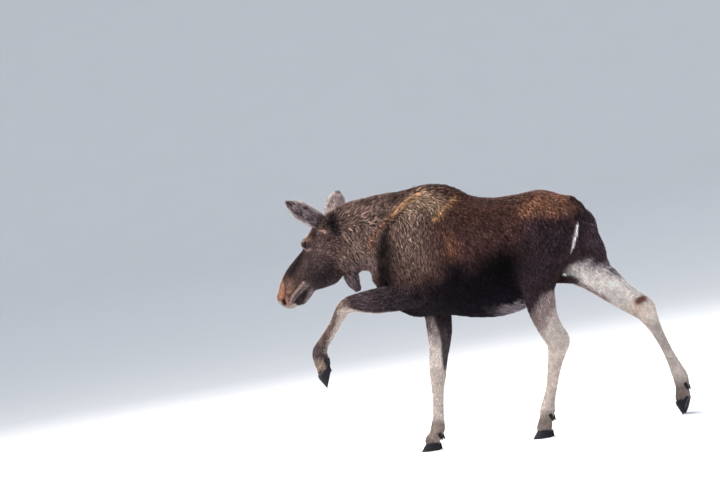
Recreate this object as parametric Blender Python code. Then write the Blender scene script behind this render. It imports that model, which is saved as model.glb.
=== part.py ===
"""A walking cow moose (Alces alces) at life size: left foreleg raised, the other three feet on the floor.
Metres, +Z up, the animal faces -Y and its left side is +X. The body is one smooth form built from tapering
tubes and balls along the skeleton; thin plates then part it into head, neck, trunk, tail and legs. Ears, eyes,
claws and dewclaws are solids of their own, set in pockets."""
import math

import bmesh
import bpy
import numpy as np

# ---------------------------------------------------------------- named sizes (metres)
WITHERS = 1.69             # height of the hump over the floor, coat included
GAP = .0003                # clearance between neighbouring solids
CELL = .0125               # grid step of the body's surface
BODY_TRIANGLES = 2900      # the body's facets before it is parted
EYE_RADIUS = .0195
EYE_OUT = .0065            # how far the eyeball's middle lies under the coat
CLAW_LENGTH, CLAW_WIDTH = .132, .053
CLAW_FRONT, CLAW_HEEL = .064, .038
CLAW_APART = .0285         # from the foot's middle to the middle of each claw
DEWCLAW_LENGTH, DEWCLAW_RADIUS = .052, .017
EAR_WIDTH = .120
EAR_WIDTH_RIGHT = .136                      # turned more open than the left one
EAR_GAP = .0018            # the ears' pockets are looser, as their rims are sharp
ORIGIN = (.0002, .4086, 0.0)   # middle of the outline on the floor

# ---------------------------------------------------------------- field tools
def resample(rows, m):
    """Smooth (Catmull-Rom) resampling of rows of numbers along their chord length."""
    rows = np.asarray(rows, float)
    seg = np.linalg.norm(np.diff(rows[:, :3], axis=0), axis=1)
    s = np.concatenate([[0], np.cumsum(seg)])
    d = np.empty_like(rows)
    d[1:-1] = (rows[2:]-rows[:-2])/(s[2:]-s[:-2])[:, None]
    d[0] = (rows[1]-rows[0])/seg[0]
    d[-1] = (rows[-1]-rows[-2])/seg[-1]
    t = np.linspace(0, s[-1], m)
    i = np.clip(np.searchsorted(s, t, side="right")-1, 0, len(seg)-1)
    h = seg[i][:, None]
    u = ((t-s[i])/seg[i])[:, None]
    return ((2*u**3-3*u**2+1)*rows[i] + (u**3-2*u**2+u)*h*d[i]
            + (-2*u**3+3*u**2)*rows[i+1] + (u**3-u**2)*h*d[i+1])

class Tube:
    """A limb or trunk: sections (x, y, z, half width, upper/hind half, lower/fore half) along an axis."""
    def __init__(self, rows, k=.05, caps=(.03, .03), e=2.0, m=0, lat=(1, 0, 0)):
        rows = np.asarray(rows, float)
        m = m or (4*(len(rows)-1)+1 if len(rows) > 2 else 5)
        r = resample(rows, m)
        self.c, self.a, self.u, self.d = r[:, :3], r[:, 3], r[:, 4], r[:, 5]
        t = np.gradient(self.c, axis=0)
        t /= np.linalg.norm(t, axis=1)[:, None]
        lat = np.asarray(lat, float)
        l = lat-(t@lat)[:, None]*t
        l /= np.linalg.norm(l, axis=1)[:, None]
        self.t, self.l, self.n = t, l, np.cross(l, t)
        self.k, self.caps, self.e = k, caps, e
        big = np.maximum(np.maximum(self.a, self.u), self.d)
        pad = np.maximum(big, max(caps))[:, None]
        self.lo, self.hi = (self.c-pad).min(0), (self.c+pad).max(0)

    def dist(self, p):
        n = len(p)
        best = np.full(n, np.inf)
        par = np.zeros(n)
        for i in range(len(self.c)-1):
            a = self.c[i]
            ab = self.c[i+1]-a
            q = p-a
            t = np.clip((q@ab)/(ab@ab), 0, 1)
            q -= t[:, None]*ab
            dd = np.einsum("ij,ij->i", q, q)
            m = dd < best
            best[m] = dd[m]
            par[m] = i+t[m]
        i = np.minimum(par.astype(int), len(self.c)-2)
        f = par-i
        g = lambda arr: arr[i]*(1-f)+arr[i+1]*f
        gv = lambda arr: arr[i]*(1-f)[:, None]+arr[i+1]*f[:, None]
        v = p-gv(self.c)
        u = np.abs(np.einsum("ij,ij->i", v, gv(self.l)))/g(self.a)
        w = np.einsum("ij,ij->i", v, gv(self.n))
        w = np.abs(w)/np.where(w > 0, g(self.u), g(self.d))
        s = np.einsum("ij,ij->i", v, gv(self.t))
        cap = np.where(s < 0, self.caps[0], self.caps[1])
        s = np.where((par <= 1e-9) | (par >= len(self.c)-1-1e-9), np.abs(s)/cap, 0)
        if self.e == 2.0:
            rho = np.sqrt(u*u+w*w+s*s)
        else:
            rho = (u**self.e+w**self.e+s**self.e)**(1/self.e)
        r = np.linalg.norm(v, axis=1)
        rho = np.maximum(rho, 1e-6)
        small = np.minimum(np.minimum(g(self.a), g(self.u)), g(self.d))
        return np.where(r > 1e-6, r*(1-1/rho), -small)

class Ball:
    """An ellipsoid with half sizes h and optional rotation matrix rows (axes)."""
    def __init__(self, c, h, k=.03, rot=None):
        self.c, self.h, self.k = np.asarray(c, float), np.asarray(h, float), k
        self.rot = np.eye(3) if rot is None else np.asarray(rot, float)
        r = self.h.max()
        self.lo, self.hi = self.c-r, self.c+r

    def dist(self, p):
        v = (p-self.c)@self.rot.T
        rho = np.maximum(np.linalg.norm(v/self.h, axis=1), 1e-6)
        r = np.linalg.norm(v, axis=1)
        return np.where(r > 1e-6, r*(1-1/rho), -self.h.min())

BIG = 1.0
def smin(a, b, k):
    h = np.maximum(k-np.abs(a-b), 0)/k
    return np.minimum(a, b)-h*h*k*.25

def field(prims, p, margin=.02):
    """Smooth union of the primitives at points p (n,3)."""
    f = np.full(len(p), BIG)
    for q in prims:
        pad = q.k+margin
        m = np.all((p > q.lo-pad) & (p < q.hi+pad), axis=1)
        idx = np.nonzero(m)[0]
        if len(idx):
            f[idx] = smin(f[idx], q.dist(p[idx]), q.k)
    return f

def grid_field(prims, lo, hi, h, margin=.02):
    n = np.ceil((np.asarray(hi)-lo)/h).astype(int)+1
    ax = [lo[i]+h*np.arange(n[i]) for i in range(3)]
    F = np.full(n, BIG)
    for q in prims:
        pad = q.k+margin
        i0 = [max(0, int(np.searchsorted(ax[i], q.lo[i]-pad))) for i in range(3)]
        i1 = [min(n[i], int(np.searchsorted(ax[i], q.hi[i]+pad))) for i in range(3)]
        if min(i1[i]-i0[i] for i in range(3)) <= 0:
            continue
        sl = tuple(slice(i0[i], i1[i]) for i in range(3))
        g = np.stack(np.meshgrid(*[ax[i][sl[i]] for i in range(3)], indexing="ij"), -1).reshape(-1, 3)
        F[sl] = smin(F[sl], q.dist(g).reshape(F[sl].shape), q.k)
    return F, np.asarray(lo, float)

def surface_nets(F, lo, h):
    S = F < 0
    n = np.array(F.shape)-1
    c = np.zeros(n, np.int8)
    for dx in (0, 1):
        for dy in (0, 1):
            for dz in (0, 1):
                c += S[dx:n[0]+dx, dy:n[1]+dy, dz:n[2]+dz]
    act = (c > 0) & (c < 8)
    I, J, K = np.nonzero(act)
    idx = np.full(n, -1, np.int64)
    idx[I, J, K] = np.arange(len(I))
    pos = np.zeros((len(I), 3))
    cnt = np.zeros(len(I))
    corners = [(a, b, d) for a in (0, 1) for b in (0, 1) for d in (0, 1)]
    for a in corners:
        for ax in range(3):
            if a[ax]:
                continue
            b = list(a)
            b[ax] = 1
            fa = F[I+a[0], J+a[1], K+a[2]]
            fb = F[I+b[0], J+b[1], K+b[2]]
            m = (fa < 0) != (fb < 0)
            t = np.where(m, fa/np.where(m, fa-fb, 1), 0)
            q = np.repeat(np.array(a, float)[None], len(I), 0)
            q[:, ax] += t
            pos[m] += q[m]
            cnt[m] += 1
    pos = lo+h*(np.stack([I, J, K], 1)+pos/cnt[:, None])
    quads = []
    for ax in range(3):
        o = [(1, 2), (2, 0), (0, 1)][ax]
        sl0 = [slice(1, n[i]) for i in range(3)]
        sl0[ax] = slice(0, n[ax])
        sl1 = list(sl0)
        sl1[ax] = slice(1, n[ax]+1)
        A, B = S[tuple(sl0)], S[tuple(sl1)]
        for sign in (0, 1):
            m = (A & ~B) if sign == 0 else (~A & B)
            q = np.stack(np.nonzero(m), 1)
            for i in range(3):
                if i != ax:
                    q[:, i] += 1
            def cell(d0, d1):
                r = q.copy()
                r[:, o[0]] -= d0
                r[:, o[1]] -= d1
                return idx[r[:, 0], r[:, 1], r[:, 2]]
            v = [cell(1, 1), cell(0, 1), cell(0, 0), cell(1, 0)]
            if sign:
                v = v[::-1]
            quads.append(np.stack(v, 1))
    return pos, np.concatenate(quads)

def project(fn, p, steps=3, eps=2e-4, clamp=.01):
    for _ in range(steps):
        f, g = grad(fn, p, eps)
        p = p-np.clip(f/np.maximum((g*g).sum(1), .05), -clamp, clamp)[:, None]*g
    return p

T4 = np.array([[1, 1, 1], [1, -1, -1], [-1, 1, -1], [-1, -1, 1]], float)
def grad(fn, p, eps=2e-4):
    v = [fn(p+eps*t) for t in T4]
    g = sum(v[i][:, None]*T4[i] for i in range(4))/(4*eps)
    return sum(v)/4, g

# ---------------------------------------------------------------- the moose
HEAD_POLL = np.array([0, -.401, 1.639])
HEAD_ANGLE = 50.0
_t = np.radians(HEAD_ANGLE)
HD = np.array([0, -np.cos(_t), -np.sin(_t)])      # from poll to nose
HN = np.array([0, -np.sin(_t), np.cos(_t)])       # out of the forehead
def hp(x, s, n):
    return HEAD_POLL+np.array([x, 0, 0])+s*HD+n*HN

def head_rows(rows):
    """rows (s, n_top, n_bottom, half width) from poll to nose -> Tube rows from nose to poll."""
    out = []
    for s, nt, nb, w in rows[::-1]:
        m = nt-.5*(nt-nb)
        c = hp(0, s, m)
        out.append([*c, w, nt-m, m-nb])
    return out

def moose():
    P = []
    # trunk: (y, top, bottom, half width)
    axis = 1.235
    tr = [(-.07, 1.54, 1.02, .140), (.02, 1.58, .955, .185), (.16, 1.60, .885, .225), (.32, 1.585, .832, .252),
          (.48, 1.553, .798, .272), (.64, 1.537, .792, .278), (.78, 1.534, .822, .268), (.92, 1.534, .90, .245),
          (1.02, 1.522, .985, .220), (1.10, 1.488, 1.06, .185)]
    P.append(Tube([(0, y, axis, w, t-axis, axis-b) for y, t, b, w in tr], k=.06, caps=(.10, .125), e=2.15))
    # withers hump and crest ridge
    P.append(Tube([(0, -.30, 1.55, .070, .100, .12), (0, -.10, 1.562, .080, .104, .14), (0, .08, 1.562, .088, .112, .16),
                   (0, .24, 1.571, .090, .119, .16), (0, .36, 1.551, .088, .114, .15), (0, .46, 1.485, .082, .105, .14), (0, .56, 1.43, .075, .100, .12)], k=.07, caps=(.06, .10)))
    # neck
    P.append(Tube([(0, -.43, 1.435, .098, .165, .212), (0, -.32, 1.425, .120, .205, .214), (0, -.20, 1.42, .142, .22, .216),
                   (0, -.06, 1.40, .168, .24, .255), (0, .10, 1.38, .19, .23, .29)], k=.07, caps=(.05, .12), e=2.1))
    # chest point between the shoulders
    P.append(Tube([(0, -.115, 1.165, .080, .10, .095), (0, -.06, 1.05, .095, .10, .10), (0, .05, .965, .095, .10, .10), (0, .13, .965, .090, .09, .095)], k=.09, caps=(.06, .06)))
    # udder and groin
    P.append(Tube([(-.01, .86, .985, .090, .050, .050), (-.035, .975, .968, .075, .030, .030), (-.082, 1.080, .934, .044, .020, .020)], k=.035, caps=(.05, .03)))
    for s in (1, -1):
        # shoulder blade
        P.append(Tube([(s*.100, .21, 1.50, .070, .10, .10), (s*.140, .10, 1.38, .078, .12, .13), (s*.148, .00, 1.25, .080, .13, .115)], k=.08, caps=(.08, .08)))
        # hip
        P.append(Tube([(s*.090, .92, 1.43, .09, .10, .09), (s*.120, 1.045, 1.325, .10, .145, .15)], k=.08, caps=(.07, .07)))
    # upper arms
    P.append(Tube([(.148, -.01, 1.25, .078, .12, .11), (.158, .07, 1.12, .073, .12, .105), (.166, .085, 1.02, .067, .10, .09)], k=.05, caps=(.06, .06)))
    P.append(Tube([(-.148, -.01, 1.25, .078, .12, .11), (-.154, .10, 1.10, .073, .12, .11), (-.156, .135, .97, .067, .095, .09)], k=.05, caps=(.06, .06)))
    # left foreleg, raised: (x, y, z, half width, hind half, fore half)
    P.append(Tube([(.172, .10, 1.020, .068, .085, .08), (.169, -.02, 1.010, .068, .080, .086), (.163, -.15, 1.012, .060, .080, .084), (.158, -.22, 1.016, .055, .072, .074),
                   (.155, -.29, 1.020, .051, .060, .061), (.153, -.345, 1.017, .051, .052, .054), (.152, -.386, .999, .052, .047, .049), (.150, -.418, .970, .048, .043, .044),
                   (.148, -.449, .933, .040, .037, .038), (.146, -.490, .880, .036, .033, .040), (.143, -.535, .829, .035, .031, .045), (.141, -.573, .786, .037, .032, .047),
                   (.140, -.606, .740, .045, .046, .052), (.140, -.608, .690, .043, .052, .050), (.140, -.601, .655, .048, .046, .048), (.140, -.596, .617, .052, .042, .047)],
                  k=.04, caps=(.06, .012), m=57))
    # right foreleg, planted
    P.append(Tube([(-.160, .135, .99, .070, .095, .095), (-.150, .131, .86, .067, .083, .094), (-.140, .125, .75, .060, .077, .089), (-.128, .112, .66, .052, .066, .074),
                   (-.118, .096, .59, .048, .057, .064), (-.109, .082, .53, .049, .055, .060), (-.103, .069, .46, .047, .051, .054), (-.095, .057, .39, .039, .042, .042),
                   (-.082, .043, .28, .034, .037, .036), (-.070, .030, .19, .038, .042, .038), (-.062, .018, .137, .044, .051, .044), (-.055, .000, .095, .043, .046, .041),
                   (-.049, -.022, .070, .050, .048, .043), (-.048, -.030, .050, .052, .048, .046)], k=.04, caps=(.07, .012), m=53))
    # left hind leg, planted well forward
    P.append(Tube([(.122, 1.02, 1.31, .095, .15, .16), (.152, .980, 1.18, .100, .145, .19), (.172, .940, 1.07, .093, .138, .160), (.180, .924, .975, .077, .115, .112)], k=.06, caps=(.08, .05)))
    P.append(Tube([(.182, .925, .98, .076, .108, .106), (.183, .925, .88, .069, .098, .103), (.181, .930, .79, .060, .086, .093), (.177, .945, .71, .051, .078, .083),
                   (.174, .966, .645, .047, .076, .077), (.172, .986, .59, .048, .080, .075), (.170, .973, .53, .045, .060, .064), (.169, .950, .47, .040, .048, .051),
                   (.167, .924, .40, .036, .041, .042), (.164, .890, .30, .034, .037, .037), (.161, .853, .215, .038, .043, .040), (.160, .838, .175, .045, .052, .046),
                   (.160, .818, .118, .043, .046, .041), (.160, .800, .075, .050, .050, .043), (.160, .792, .052, .052, .050, .046)], k=.04, caps=(.06, .012), m=57))
    # right hind leg, stretched back
    P.append(Tube([(-.122, 1.02, 1.31, .095, .15, .16), (-.146, 1.085, 1.19, .100, .172, .18), (-.153, 1.14, 1.07, .095, .165, .165), (-.151, 1.175, .98, .080, .13, .13)], k=.06, caps=(.08, .05)))
    P.append(Tube([(-.151, 1.165, .985, .079, .122, .122), (-.149, 1.235, .920, .069, .108, .110), (-.147, 1.290, .865, .061, .098, .101), (-.144, 1.338, .815, .055, .089, .091),
                   (-.142, 1.390, .768, .049, .082, .084), (-.141, 1.445, .726, .046, .078, .082), (-.140, 1.485, .688, .048, .076, .078), (-.139, 1.510, .638, .045, .056, .062),
                   (-.139, 1.533, .575, .040, .040, .045), (-.138, 1.553, .515, .036, .034, .035), (-.138, 1.577, .445, .033, .031, .032), (-.137, 1.605, .36, .033, .034, .034),
                   (-.136, 1.628, .285, .040, .044, .042), (-.136, 1.643, .228, .045, .051, .047), (-.136, 1.645, .165, .043, .046, .043), (-.136, 1.640, .118, .050, .047, .046), (-.136, 1.634, .092, .052, .047, .047)], k=.04, caps=(.06, .012), m=65))
    # tail
    P.append(Tube([(0, 1.160, 1.430, .044, .045, .045), (0, 1.212, 1.385, .040, .040, .038), (0, 1.230, 1.335, .033, .031, .032), (0, 1.230, 1.290, .018, .020, .020)], k=.025, caps=(.04, .022)))
    # head, from its profile
    P.append(Tube(head_rows([(.02, -.012, -.20, .083), (.10, .030, -.22, .098), (.19, .055, -.235, .106), (.27, .054, -.225, .106), (.35, .043, -.195, .094), (.43, .056, -.165, .082),
                             (.52, .071, -.140, .073), (.60, .066, -.120, .071), (.665, .048, -.098, .069)]), k=.03, caps=(.062, .06), e=2.35))
    # lower jaw and cheek
    P.append(Tube(head_rows([(.30, -.08, -.255, .074), (.37, -.10, -.268, .068), (.44, -.10, -.222, .058), (.52, -.09, -.158, .048), (.59, -.09, -.150, .044), (.63, -.10, -.140, .038)]), k=.03, caps=(.018, .05), e=2.1))
    for s in (1, -1):
        P.append(Ball(hp(s*.074, .262, .014), (.030, .048, .032), k=.05))       # brow over the eye
    # bell under the throat
    P.append(Tube([(0, -.365, 1.20, .045, .055, .05), (0, -.348, 1.145, .036, .042, .042), (0, -.332, 1.108, .020, .024, .028)], k=.04, caps=(.03, .025)))
    # hamstring of the right leg, which fills the outline behind the hip
    P.append(Ball((-.130, 1.170, 1.262), (.060, .106, .125), k=.04))
    return P

# ---------------------------------------------------------------- claws, ears
def frame_of(fwd, up):
    f = np.asarray(fwd, float); f /= np.linalg.norm(f)
    u = np.asarray(up, float); u = u-(u@f)*f; u /= np.linalg.norm(u)
    return np.stack([np.cross(f, u), f, u])          # rows: right, forward, up

def grid_mesh(rings, top, bottom):
    """Closed mesh from rings of equal length with a point at each end."""
    n = len(rings[0])
    v = np.concatenate([np.concatenate(rings), [bottom], [top]])
    f = []
    for i in range(len(rings)-1):
        for j in range(n):
            a, b = i*n+j, i*n+(j+1) % n
            f += [(a, b, b+n), (a, b+n, a+n)]
    m, k = len(rings)*n, (len(rings)-1)*n
    for j in range(n):
        f += [(m, (j+1) % n, j), (m+1, k+j, k+(j+1) % n)]
    return v, np.array(f)

def claw(side, length=.132, width=.053, front=.078, heel=.048, n=16):
    """One claw of a cloven hoof in its own frame: x outwards, y to the toe, z up, sole at z=0."""
    t = 2*np.pi*np.arange(n)/n
    y, x = np.cos(t), np.sin(t)
    toe = np.clip((y+.1)/1.1, 0, 1)
    wide = 1-.62*toe**2.2
    px = np.where(x > 0, x, x*.72)*wide*width*.5*side
    px = px-side*toe**2*width*.16
    if side < 0:
        px, y = px[::-1], y[::-1]
    yy = (y+1)*.5
    rings = []
    for z in (0, .004, .25, .5, .75, 1.0):
        q = z if z > .01 else 0
        top = heel+(front-heel)*yy
        zz = (top*q if z > .01 else np.full(n, z))
        shrink = .96 if z == 0 else 1
        back = zz*yy*.80
        rings.append(np.stack([px*shrink*(1-.10*q)-side*zz*.05, yy*length*shrink+(1-shrink)*length*.5-back-length*.5+zz*(1-yy)*.10, zz], 1))
    c = rings[-1].mean(0)
    rings.append(c+(rings[-1]-c)*[.55, .55, 1]+[0, 0, .010])
    top = c+[0, 0, .016]
    v, f = grid_mesh(rings, top, np.array([rings[0][:, 0].mean(), rings[0][:, 1].mean(), 0]))
    return v, f[:, ::-1]

def normals(v, f):
    n = np.zeros_like(v)
    fn = np.cross(v[f[:, 1]]-v[f[:, 0]], v[f[:, 2]]-v[f[:, 0]])
    for i in range(3):
        np.add.at(n, f[:, i], fn)
    return n/np.maximum(np.linalg.norm(n, axis=1), 1e-12)[:, None]

def grown(v, f, d):
    return v+d*normals(v, f)

def ear_mesh(base, tip, back, width, depth=.45, thick=.011, nu=12, nv=8):
    """A cupped leaf: rings from base to tip, each the outer arc and then the inner arc; 'back' is the convex side."""
    base, tip = np.asarray(base, float), np.asarray(tip, float)
    F = frame_of(tip-base, back)
    L = np.linalg.norm(tip-base)
    v = []
    for i in range(nu):
        u = i/(nu-1)
        w = width*.5*(.40+.60*np.sin(np.pi*(.12+u*.80))**.9)*(1-u**7*.72)
        roll = (1.25*(1-u)**1.5+.35)*depth*2          # how far the sides curl round
        for off, vs in ((1, np.linspace(-1, 1, nv)), (-1, np.linspace(1, -1, nv))):
            a = vs*roll
            o = off*thick*(1-.55*u)*.5*np.sqrt(np.maximum(1-vs**4, .08))
            v.append(np.stack([w*np.sin(a)/np.sin(roll)+o*np.sin(a), np.full(nv, u*L), -w*(1-np.cos(a))/np.sin(roll)+o*np.cos(a)], 1))
    v, n = np.concatenate(v), 2*nv
    f = [(i*n+j, i*n+(j+1) % n, (i+1)*n+(j+1) % n, (i+1)*n+j) for i in range(nu-1) for j in range(n)]
    for k, flip in ((0, True), ((nu-1)*n, False)):
        for j in range(nv-1):
            q = (k+j, k+j+1, k+n-2-j, k+n-1-j)
            f.append(q[::-1] if flip else q)
    f = np.array(f)
    return base+v@F, np.concatenate([f[:, [0, 1, 2]], f[:, [0, 2, 3]]])


def dewclaw(n=7):
    """A blunt cone along y, with its base at the origin."""
    rings = []
    for y, r in ((-.006, .80), (.0, 1.0), (.45, .92), (.80, .66), (.96, .30)):
        yy = y if y <= 0 else y*DEWCLAW_LENGTH
        t = 2*np.pi*np.arange(n)/n
        rings.append(np.stack([r*DEWCLAW_RADIUS*np.cos(t), np.full(n, yy), -r*DEWCLAW_RADIUS*np.sin(t)*.8], 1))
    return grid_mesh(rings, np.array([0, DEWCLAW_LENGTH, 0]), np.array([0, -.010, 0]))

def placed(vf, at, F):
    return np.asarray(at)+vf[0]@F, vf[1]

# feet: name, x of the middle, sole centre (y, z), toe direction, top direction, fetlock's back (y, z);
# the raised one hangs with its toe turned out a little
FEET = (("fore_left", .140, (-.576, .570), (.123, -.338, -.933), (.319, -.877, .36), (-.572, .700), (0, .12, -.99)),
        ("fore_right", -.048, (-.040, .0), (0, -1, 0), (0, 0, 1), (.036, .106), (0, .30, -.95)),
        ("hind_left", .160, (.782, .0), (0, -1, 0), (0, 0, 1), (.857, .144), (0, .30, -.95)),
        ("hind_right", -.136, (1.6555, .0440), (0, -.42, -.907), (0, -.907, .42), (1.672, .190), (0, .35, -.94)))

def sphere(c, r, n=12, m=8):
    rings = []
    for j in range(1, m):
        a = np.pi*j/m
        t = 2*np.pi*np.arange(n)/n
        rings.append(np.stack([r*np.sin(a)*np.cos(t), r*np.sin(a)*np.sin(t), np.full(n, -r*np.cos(a))], 1))
    v, f = grid_mesh(rings, np.array([0, 0, r]), np.array([0, 0, -r]))
    return v+c, f

def floored(v, f):
    """The part of a closed mesh above the floor, closed again with a flat."""
    bm = bmesh.new()
    pts = [bm.verts.new(p) for p in v]
    for t in f:
        bm.faces.new([pts[i] for i in t])
    geom = list(bm.verts)+list(bm.edges)+list(bm.faces)
    r = bmesh.ops.bisect_plane(bm, geom=geom, dist=1e-6, plane_co=(0, 0, 0), plane_no=(0, 0, 1), clear_inner=True)
    rim = [e for e in r["geom_cut"] if isinstance(e, bmesh.types.BMEdge)]
    bmesh.ops.contextual_create(bm, geom=rim)
    bmesh.ops.recalc_face_normals(bm, faces=list(bm.faces))
    bmesh.ops.triangulate(bm, faces=list(bm.faces))
    bm.verts.index_update()
    out = np.array([p.co[:] for p in bm.verts]), np.array([[p.index for p in t.verts] for t in bm.faces])
    bm.free()
    return out

def organs(prims):
    """The small solids set into the body: name -> (points, triangles)."""
    out = {}
    for name, x, (sy, sz), toe, up, (dy, dz), dd in FEET:
        F = frame_of(toe, up)                      # rows: right (-x of the animal), forward, up
        for side, word in ((1, "left"), (-1, "right")):
            c = claw(-side, CLAW_LENGTH, CLAW_WIDTH, CLAW_FRONT, CLAW_HEEL, n=10)
            v, f = placed(c, np.array([x, sy, sz])-side*CLAW_APART*F[0], F)
            if name == "hind_right":
                v, f = floored(v, f)
            out["claw_%s_%s" % (name, word)] = (v, f)
            G = frame_of(dd, (0, 1, 0))
            out["dewclaw_%s_%s" % (name, word)] = placed(dewclaw(), (x+side*.022, dy, dz), G)
    out["ear_left"] = ear_mesh((.074, -.438, 1.540), (.200, -.635, 1.731), (-.90, -.38, .15), EAR_WIDTH, nu=9, nv=6)
    out["ear_right"] = ear_mesh((-.068, -.440, 1.558), (-.229, -.428, 1.735), (.55, .42, .52), EAR_WIDTH_RIGHT, nu=9, nv=6)
    for side, word in ((1, "left"), (-1, "right")):
        lo, hi = .02, .16                          # walk out from the head's middle to the coat
        for _ in range(40):
            mid = (lo+hi)/2
            if field(prims, hp(side*mid, .280, .016)[None])[0] < 0:
                lo = mid
            else:
                hi = mid
        out["eye_"+word] = sphere(hp(side*(lo-EYE_OUT), .280, .016), EYE_RADIUS)
    return out

# ---------------------------------------------------------------- parting plates
def outward(v, f):
    """The same faces, turned so that they enclose a positive volume."""
    vol = sum(np.dot(v[t[0]], np.cross(v[t[i]], v[t[i+1]])) for t in f for i in range(1, len(t)-1))
    return (v, f) if vol > 0 else (v, [tuple(k)[::-1] for k in f])

def plate(p, q, x0, x1, thick=GAP):
    """A thin box through the two points p and q (y, z) of the side view, from x0 to x1."""
    p, q = np.array(p, float), np.array(q, float)
    d = (q-p)/np.linalg.norm(q-p)
    n = np.array([-d[1], d[0]])*thick*.5
    c = [p+n, q+n, q-n, p-n]
    v = [(x, *k) for x in (x0, x1) for k in c]
    f = [(0, 1, 2, 3), (7, 6, 5, 4), (0, 4, 5, 1), (1, 5, 6, 2), (2, 6, 7, 3), (3, 7, 4, 0)]
    return outward(np.array(v), f)

def across(at, along, half, x0, x1):
    """A plate square to the direction 'along' at the point 'at' (y, z)."""
    d = np.array([-along[1], along[0]])/math.hypot(*along)
    return plate(np.array(at)-half*d, np.array(at)+half*d, x0, x1)

FIRST_CUTS = [
    plate((-.365, 1.78), (-.414, 1.06), -.30, .30),           # head from neck
    plate((.045, 1.78), (-.214, 1.103), -.30, .30),           # neck from trunk
    plate((.755, .775), (.975, 1.80), -.34, .34),             # trunk from hindquarters
    plate((1.182, 1.505), (1.238, 1.235), -.080, .080),         # tail
    across((-.160, 1.012), (-1, .0), .108, .07, .27),         # left forearm
    across((-.434, .952), (-.55, -.83), .075, .07, .23),      # left fore cannon
    across((-.607, .722), (0, -1), .09, .06, .22),            # left forefoot
    plate((-.03, .832), (.28, .832), -.27, -.04),             # right forearm
    plate((-.04, .440), (.18, .440), -.20, -.02),             # right fore cannon
    plate((-.08, .160), (.12, .160), -.15, .03),              # right forefoot
    across((.975, .530), (-.35, -.94), .11, .07, .27),        # left hind cannon
    across((.846, .200), (-.35, -.94), .09, .07, .25),        # left hind foot
    across((1.524, .610), (.30, -.95), .11, -.24, -.04),      # right hind cannon
    across((1.637, .262), (.15, -.98), .09, -.24, -.04),      # right hind foot
]
SECOND_CUTS = [
    plate((.70, .845), (1.20, .955), .015, .32),              # left shank
    plate((1.02, .865), (1.42, 1.135), -.32, -.02),           # right shank
    plate((-.43, 1.205), (-.27, 1.180), -.07, .07),           # bell
]
MIDLINE_CUT = [(np.array([(x, y, z) for x in (-GAP/2, GAP/2) for y, z in ((.7379, .70), (1.40, .70), (1.40, 1.70), (.9525, 1.70))]),
                [(3, 2, 1, 0), (4, 5, 6, 7), (0, 1, 5, 4), (1, 2, 6, 5), (2, 3, 7, 6), (3, 0, 4, 7)])]

# a point inside each piece of the body (x, y, z)
PIECES = {
    "head": (0, -.60, 1.38), "neck": (0, -.20, 1.42), "trunk": (0, .40, 1.20), "tail": (0, 1.235, 1.34),
    "bell": (0, -.345, 1.14), "hindquarter_left": (.14, 1.02, 1.25), "hindquarter_right": (-.14, 1.04, 1.25),
    "foreleg_left_forearm": (.155, -.28, 1.02), "foreleg_left_cannon": (.146, -.50, .865), "foreleg_left_foot": (.14, -.606, .66),
    "foreleg_right_forearm": (-.128, .112, .66), "foreleg_right_cannon": (-.085, .045, .30), "foreleg_right_foot": (-.055, .0, .10),
    "hindleg_left_shank": (.180, .935, .78), "hindleg_left_cannon": (.165, .90, .33), "hindleg_left_foot": (.16, .82, .125),
    "hindleg_right_shank": (-.145, 1.32, .83), "hindleg_right_cannon": (-.138, 1.59, .42), "hindleg_right_foot": (-.136, 1.64, .18),
}

# ---------------------------------------------------------------- Blender objects
def mesh_object(name, v, f):
    me = bpy.data.meshes.new(name)
    me.from_pydata([tuple(map(float, p)) for p in v], [], [tuple(int(i) for i in t) for t in f])
    me.validate()
    ob = bpy.data.objects.new(name, me)
    bpy.context.scene.collection.objects.link(ob)
    return ob

def joined(parts):
    vs, fs, n = [], [], 0
    for v, f in parts:
        vs.append(np.asarray(v))
        fs += [tuple(int(i)+n for i in t) for t in f]
        n += len(v)
    return np.concatenate(vs), fs

def baked(ob):
    """The object's mesh with its modifiers applied."""
    deps = bpy.context.evaluated_depsgraph_get()
    me = bpy.data.meshes.new_from_object(ob.evaluated_get(deps), depsgraph=deps)
    ob.modifiers.clear()
    ob.data = me
    return ob

def cut(ob, parts, name):
    tool = mesh_object(name, *joined(parts))
    m = ob.modifiers.new(name, "BOOLEAN")
    m.operation, m.solver, m.object = "DIFFERENCE", "EXACT", tool
    baked(ob)
    bpy.data.objects.remove(tool)

def islands(me):
    """The separate closed parts of a mesh, as (points, faces)."""
    bm = bmesh.new()
    bm.from_mesh(me)
    bm.verts.ensure_lookup_table()
    mark = [-1]*len(bm.verts)
    out = []
    for start in bm.verts:
        if mark[start.index] >= 0:
            continue
        k = len(out)
        mark[start.index] = k
        stack, group = [start], []
        while stack:
            v = stack.pop()
            group.append(v)
            for e in v.link_edges:
                o = e.other_vert(v)
                if mark[o.index] < 0:
                    mark[o.index] = k
                    stack.append(o)
        ids = {v.index: i for i, v in enumerate(sorted(group, key=lambda v: v.index))}
        vs = np.array([v.co[:] for v in sorted(group, key=lambda v: v.index)])
        fs = [tuple(ids[v.index] for v in f.verts) for f in bm.faces if mark[f.verts[0].index] == k]
        out.append((vs, fs))
    bm.free()
    return out

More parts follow.
